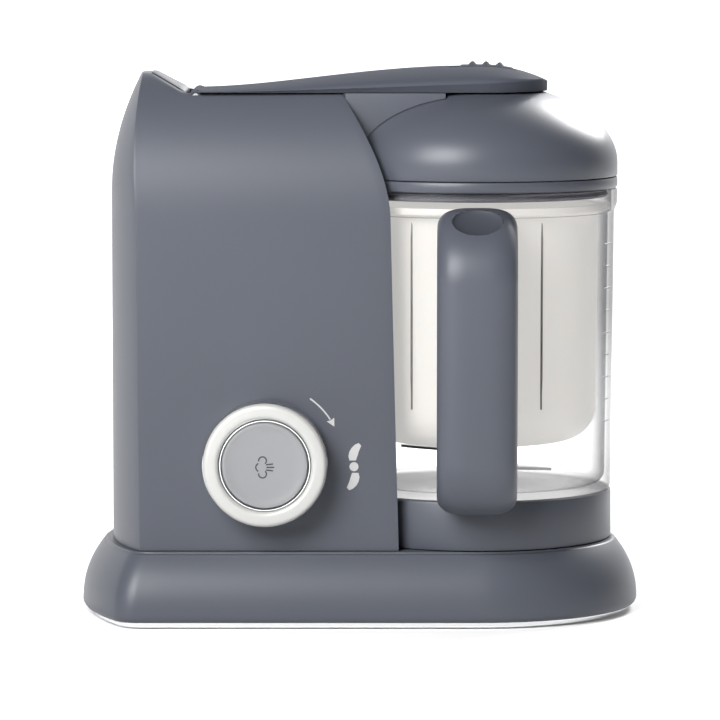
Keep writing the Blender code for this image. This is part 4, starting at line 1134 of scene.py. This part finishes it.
def make_handle():
    sides = 48
    rings = []
    for reach, height, heading in handle_path():
        turn = math.radians(heading)
        outward = Vector((0.0, -math.sin(turn), math.cos(turn)))
        depth = HANDLE_DEPTH + 0.0012 * max(0.0, 1 - heading / 45)
        loop = []
        for k in range(sides):
            angle = 2 * math.pi * k / sides
            across = math.copysign(abs(math.cos(angle)) ** 0.62, math.cos(angle)) * HANDLE_HALF
            along = math.copysign(abs(math.sin(angle)) ** 0.85, math.sin(angle)) * depth
            point = Vector((across, -reach, height)) + outward * along
            loop.append(JUG_TURN @ point + Vector(JUG_CENTRE))
        rings.append(loop)
    made = piece("handle", skin(rings), "body_plastic", "jug", ["jug_handle"])
    seat = [(0.0, 0.0340), (COLLAR_RADIUS + GAP, 0.0340), (COLLAR_RADIUS + GAP, JUG_FOOT),
            (JUG_WALL_FOOT + GAP, JUG_FOOT + 0.0016), (JUG_WALL_TOP + GAP, JUG_WALL_END),
            (DOME_RADIUS + GAP, 0.1955),
            (DOME_RADIUS + GAP, 0.2100), (0.0, 0.2100)]
    cut(made, lathe(seat, JUG_CENTRE))
    cut(made, thumb_dish())
    # Faces inside the thumb dish take the darker grey: painted shade in the hollow
    made.data.materials.append(DISH_SHADE_FINISH)
    for face in made.data.polygons:
        if dish_place(face.center - Vector((0.0, MID_Y, 0.0))).length < 1.02:
            face.material_index = 1


# Blade

def make_blade():
    bottom, top = low("blade_hub")[2], high("blade_hub")[2]
    hub = [(0.0, top - 0.0045), (0.0033, top - 0.0045), (0.0033, bottom), (0.0088, bottom),
           (0.0090, bottom + 0.0004), (0.0086, top - 0.0034), (0.0078, top - 0.0018),
           (0.0060, top - 0.0006), (0.0032, top - 0.0001), (0.0, top)]
    piece("hub", lathe(hub, JUG_CENTRE, 72), "dark_plastic", "drive", ["blade_hub"])
    piece("cutting_blade", blade_mesh(), "steel", "drive", ["blade"], angle=50.0)


def blade_mesh():
    """Two scimitar wings on a ring; each has a ground edge in front."""
    reach = 0.036
    steps = 22
    thick = 0.0012
    level = 0.0715
    sides = 60
    hole = 0.0093
    rim = 0.0125
    bm = bmesh.new()
    rims = {}
    for key, radius, z in (("bo", rim, level), ("to", rim, level + thick),
                           ("bi", hole, level), ("ti", hole, level + thick)):
        rims[key] = [bm.verts.new((JUG_X + radius * math.cos(2 * math.pi * k / sides),
                                   radius * math.sin(2 * math.pi * k / sides), z))
                     for k in range(sides)]
    width_cells = 12
    roots = {1: [(k - 6) % sides for k in range(width_cells + 1)],
             -1: [24 + k for k in range(width_cells + 1)]}
    skip = {slot for slots in roots.values() for slot in slots[:-1]}
    for first, second in (("bo", "to"), ("to", "ti"), ("ti", "bi"), ("bi", "bo")):
        for k in range(sides):
            if first == "bo" and k in skip:
                continue
            j = (k + 1) % sides
            bm.faces.new((rims[first][k], rims[first][j], rims[second][j], rims[second][k]))
    for facing, slots in roots.items():
        lower = [rims["bo"][k] for k in slots]
        upper = [rims["to"][k] for k in slots]
        for step in range(1, steps + 1):
            share = step / steps
            along = rim + (reach - rim) * share
            sweep = 0.0105 * share ** 1.6
            width = 0.0074 * (1 - 0.74 * share ** 1.6)
            rise = -0.0045 * facing * math.sin(min(1.0, share / 0.375) * math.pi / 2)
            new_lower, new_upper = [], []
            for k in range(width_cells + 1):
                side = (k / width_cells - 0.5) * 2 * width
                x = JUG_X + facing * (along - 0.25 * abs(side))
                y = facing * (side - sweep)
                ground = thick * (0.12 if k == 0 else 0.6 if k == 1 else 1.0)
                ground = thick - (thick - ground) * min(1.0, share * 4)
                new_lower.append(bm.verts.new((x, y, level + rise)))
                new_upper.append(bm.verts.new((x, y, level + rise + ground)))
            for k in range(width_cells):
                bm.faces.new((lower[k], lower[k + 1], new_lower[k + 1], new_lower[k]))
                bm.faces.new((upper[k + 1], upper[k], new_upper[k], new_upper[k + 1]))
            bm.faces.new((lower[0], new_lower[0], new_upper[0], upper[0]))
            bm.faces.new((new_lower[-1], lower[-1], upper[-1], new_upper[-1]))
            lower, upper = new_lower, new_upper
        bm.faces.new(lower + list(reversed(upper)))
    return bm


# Lid

DOME_SPRING = 0.2135
DOME_RISE = 0.038
ARM_BOTTOM = 0.2475
ARM_END = 0.0335


def dome_points(offset, bottom, top, steps):
    radius = DOME_RADIUS + offset
    rise = DOME_RISE + offset
    last = math.asin((top - DOME_SPRING) / rise)
    points = [(radius, bottom)]
    for k in range(steps + 1):
        turn = last * k / steps
        points.append((radius * math.cos(turn), DOME_SPRING + rise * math.sin(turn)))
    return points


def make_dome():
    outer = dome_points(0.0, DOME_FOOT + 0.0006, DOME_TOP, 26)
    inner = dome_points(-0.0025, DOME_FOOT, DOME_TOP - 0.0025, 20)
    dome = [(0.0, DOME_TOP - 0.0025), *reversed(inner), (DOME_RADIUS - 0.0008, DOME_FOOT),
            (DOME_RADIUS - 0.0002, DOME_FOOT + 0.0002), *outer, (0.0, DOME_TOP)]
    piece("dome", lathe(dome, JUG_CENTRE), "lid_plastic", "lid", ["lid_dome"])

    radius = DOME_RADIUS
    band = [(0.0660, BAND_FOOT), (radius - 0.0003, BAND_FOOT + 0.0003),
            (radius, BAND_FOOT + 0.0009), (radius, BAND_TOP - 0.0008),
            (radius - 0.0003, BAND_TOP - 0.0002), (radius - 0.0009, BAND_TOP), (0.0595, BAND_TOP),
            (0.0595, BAND_FOOT)]
    piece("dome_band", lathe(band, JUG_CENTRE), "lid_plastic", "lid", ["lid_band"])
    lips = [(0.0600, 0.1975), (0.0612, 0.1975), (0.0622, 0.1980), (0.0626, 0.1988),
            (0.0620, 0.1996), (0.0617, 0.2002), (0.0622, 0.2008), (0.0626, 0.2013),
            (0.0622, 0.2016), (0.0600, 0.2016)]
    piece("dome_gasket", lathe(lips, JUG_CENTRE), "silicone", "lid", ["lid_gasket"])
    nozzle = [(0.0, 0.2320), (0.0030, 0.2320), (0.0030, 0.2332), (0.0080, 0.2332),
              (0.0090, 0.2336), (0.0100, 0.2350), (0.0100, 0.2400), (0.0108, 0.2412),
              (0.0140, 0.2425), (0.0140, 0.2444), (0.0, 0.2444)]
    piece("steam_outlet", lathe(nozzle, JUG_CENTRE, 64), "white_plastic", "lid", ["steam_nozzle"])
    plug = [(0.0, 0.2446), (0.0060, 0.2446), (0.0068, 0.2440), (0.0122, 0.2440),
            (0.0134, 0.2444), (0.0142, 0.2453), (0.0142, 0.2460), (0.0136, 0.2463),
            (0.0142, 0.2467), (0.0142, 0.2472), (0.0, 0.2472)]
    piece("mouth_plug", lathe(plug, TANK_CENTRE, 64), "silicone", "lid", ["tank_plug"])


def make_neck():
    half = MID_Y - low("lid_neck")[1]
    radius = 0.0714
    edge = math.degrees(math.asin((half - 0.0015) / radius))
    plan = arc((JUG_X, 0.0), radius, 180 + edge, 180 - edge, 28)
    corner = plan[-1]
    plan += [(corner[0] + 0.0004, half - 0.0004), (corner[0] + 0.0016, half)]
    plan += [(0.0400, half), (0.0400, -half), (corner[0] + 0.0016, -half),
             (corner[0] + 0.0004, -half + 0.0004)]
    bottom, top = low("lid_neck")[2], high("lid_neck")[2]
    made = piece("neck", skin([[(x, y, z) for x, y in plan] for z in (bottom, top)]),
                 "lid_plastic", "lid", ["lid_neck"])
    solid = [(0.0, 0.2000)] + dome_points(0.0004, 0.2000, 0.2505, 40) + [(0.0, 0.2505)]
    cut(made, lathe(solid, JUG_CENTRE))


def arm_side_top(x):
    return ARM_BOTTOM + 0.0004 + 0.0056 * max(0.0, (x - ARM_LEFT) / 0.1635) ** 1.15


def arm_crown(x):
    share = (x - ARM_LEFT) / (JUG_X + ARM_END - ARM_LEFT)
    ridge = 0.2487 + 0.0107 * math.sin(min(max(share, 0.0) / 0.80, 1.0) * math.pi / 2) ** 1.5
    if share > 0.80:
        ridge -= 0.0072 * ((share - 0.80) / 0.20) ** 2.2
    return ridge


def arm_half(x):
    if x <= JUG_X:
        return ARM_HALF
    return ARM_HALF * math.sqrt(max(0.0, 1 - ((x - JUG_X) / ARM_END) ** 2))


def arm_height(x, y):
    half = max(arm_half(x), 0.001)
    share = min(1.0, abs(y) / half)
    crown = arm_crown(x)
    side = min(arm_side_top(x), crown - 0.0002)
    return side + (crown - side) * math.sqrt(1 - share ** 2) ** 1.1


def make_arm():
    stations = [ARM_LEFT + (JUG_X - ARM_LEFT) * k / 44 for k in range(45)]
    stations += [JUG_X + ARM_END * math.sin(math.radians(85.5 * k / 30)) for k in range(1, 31)]
    spread = [math.sin(math.radians(90 * k / 18)) for k in range(-18, 19)]
    rings = []
    for x in stations:
        half = arm_half(x)
        edge = arm_height(x, half)
        wall = edge - ARM_BOTTOM
        soft = min(0.0005, wall * 0.4)
        foot = half - min(0.0022, wall * 0.8, half * 0.5)
        ring = [(x, -foot, ARM_BOTTOM + soft), (x, -half, edge - soft)]
        ring += [(x, share * (half - soft * 0.6), arm_height(x, share * half)) for share in spread]
        ring += [(x, half, edge - soft), (x, foot, ARM_BOTTOM + soft)]
        ring += [(x, foot - soft * 0.5, ARM_BOTTOM), (x, 0.0, ARM_BOTTOM),
                 (x, -foot + soft * 0.5, ARM_BOTTOM)]
        rings.append(ring)
    made = piece("arm", skin(rings), "lid_plastic", "lid", ["lid_arm"],
                 finish=ARM_FINISH)
    web = block((HINGE_X + 0.0005, -0.0311, HINGE_Z + 0.0004),
                (HINGE_X + 0.0055, 0.0311, ARM_BOTTOM + 0.0006))
    cut(made, web, "UNION")
    cut(made, lathe(disc(0.0031, -0.0315, 0.0315), HINGE_CENTRE, 40, "Y"), "UNION")
    cut(made, lathe(disc(0.0017, -0.036, 0.036), HINGE_CENTRE, 24, "Y"))
    cut(made, block((0.0420, -0.0113, 0.2540), (0.0737, 0.0113, 0.2700)))
    cut(made, block((-0.0350, -0.0036, 0.2400), (0.0680, 0.0036, 0.2516)))
    cut(made, block((0.0480, -0.0034, 0.2500), (0.0678, 0.0034, 0.2560)))


def make_slider():
    """Release slider with three grip ribs, lying in the arm's pocket."""
    rings = []
    left, right = low("release_slider")[0], high("release_slider")[0]
    half = 0.0110
    count = 44
    for k in range(count + 1):
        x = left + (right - left) * k / count
        ends = min(x - left, right - x)
        ring = []
        for j in range(25):
            y = -half + 2 * half * j / 24
            sides = half - abs(y)
            drop = 0.0009 * (1 - min(1.0, ends / 0.0009)) ** 2
            drop = max(drop, 0.0006 * (1 - min(1.0, sides / 0.0008)) ** 2)
            crest = 0.0
            for middle in (0.0535, 0.0600, 0.0665):
                across = abs(x - middle) / 0.0018
                if across < 1.0 and abs(y) < 0.0088:
                    length = math.sqrt(1 - (abs(y) / 0.0088) ** 2)
                    crest = 0.0016 * length * math.cos(across * math.pi / 2) ** 0.9
            ring.append((x, y, arm_height(x, y) + 0.0004 - drop + crest))
        ring += [(x, half, 0.2543), (x, 0.0, 0.2543), (x, -half, 0.2543)]
        rings.append(ring)
    made = piece("slider", skin(rings), "lid_plastic", "release", ["release_slider"],
                 finish=ARM_FINISH)
    cut(made, block((0.0570, -0.0025, 0.2515), (0.0630, 0.0025, 0.2550)), "UNION")


# Inner pieces that keep their CAD shape

def dress_frame():
    """Give every CAD node the finish of its slot."""
    slots = {row["node"]: row["material_slot"] for row in frame["record"]["subparts"]}
    for name, node in frame["nodes"].items():
        node.data.materials.clear()
        node.data.materials.append(FINISH[slots[name]])


# Studio

def area_light(name, place, target, size, power):
    data = bpy.data.lights.new(name, "AREA")
    data.shape = "RECTANGLE"
    data.size, data.size_y = size
    data.energy = power
    lamp = bpy.data.objects.new(name, data)
    lamp.location = place
    lamp.rotation_euler = (Vector(target) - Vector(place)).to_track_quat("-Z", "Y").to_euler()
    link(lamp)


def make_studio():
    floor = bmesh.new()
    size = 7.0
    start, bend = 3.4, 0.8
    rows = [(-size, 0.0), (start, 0.0)]
    rows += [(start + bend * math.sin(math.radians(a)), bend - bend * math.cos(math.radians(a)))
             for a in range(10, 91, 10)]
    rows += [(start + bend, 5.0)]
    columns = [[floor.verts.new((x, y, z - 0.00002)) for y, z in rows] for x in (-size, size)]
    for k in range(len(rows) - 1):
        floor.faces.new((columns[0][k], columns[1][k], columns[1][k + 1], columns[0][k + 1]))
    mesh = bpy.data.meshes.new("floor")
    floor.to_mesh(mesh)
    floor.free()
    mesh.shade_smooth()
    backdrop = bpy.data.objects.new("floor", mesh)
    paint = Paint("floor_paper", Specular_IOR_Level=0.1, Emission_Strength=1.0)
    where = paint.place()
    tone = paint.noise(where, 3.0, 2.0)
    paint.colour(paint.mix(tone, (0.72, 0.72, 0.72, 1.0), (0.74, 0.74, 0.74, 1.0)))
    paint.roughness(0.85 + tone * 0.1)
    reach = paint.add("ShaderNodeVectorMath", {"operation": "LENGTH"}, {0: where}, "Value")
    depth = paint.add("ShaderNodeMapRange", {}, {"Value": reach, "From Min": 0.35,
                                                 "From Max": 1.5})
    glow = paint.mix(depth, (0.08, 0.08, 0.08, 1.0), (0.95, 0.95, 0.95, 1.0))
    paint.join(glow, paint.shader.inputs["Emission Color"])
    backdrop.data.materials.append(paint.material)
    link(backdrop)

    world = bpy.data.worlds.new("studio")
    world.use_nodes = True
    world.node_tree.nodes["Background"].inputs["Color"].default_value = (1.0, 1.0, 1.0, 1.0)
    world.node_tree.nodes["Background"].inputs["Strength"].default_value = 0.09
    bpy.context.scene.world = world

    middle = (0.0, MID_Y, 0.12)
    area_light("key_box", (-0.75, -1.37, 1.02), middle, (0.95, 0.95), 70.0)
    area_light("front_fill", (0.55, -2.30, 0.35), middle, (1.2, 1.0), 0.4)
    area_light("left_strip", (-1.25, -0.80, 0.42), middle, (0.26, 1.0), 0.6)
    area_light("back_box", (0.66, 0.95, 0.86), (0.07, MID_Y, 0.21), (0.46, 0.46), 30.0)


def make_camera():
    """Long lens, a little above the lid, aimed at the middle of the body."""
    distance = 2.150
    height = 0.320
    aim = 0.11875
    data = bpy.data.cameras.new("camera")
    data.lens = 226.0
    data.sensor_width = 36.0
    data.clip_end = 20.0
    camera = bpy.data.objects.new("camera", data)
    camera.location = (0.0, MID_Y - distance, height)
    camera.rotation_euler = (math.pi / 2 - math.atan2(height - aim, distance), 0.0, 0.0)
    link(camera)
    bpy.context.scene.camera = camera


make_camera()
dress_frame()
make_plinth()
make_feet()
make_screws()
make_body()
make_hinge_cover()
make_deck()
make_gland()
make_front_marks()
make_knob()
make_jug()
make_basket()
make_handle()
make_blade()
make_dome()
make_neck()
make_arm()
make_slider()
make_studio()
bpy.context.scene.view_settings.view_transform = "Standard"
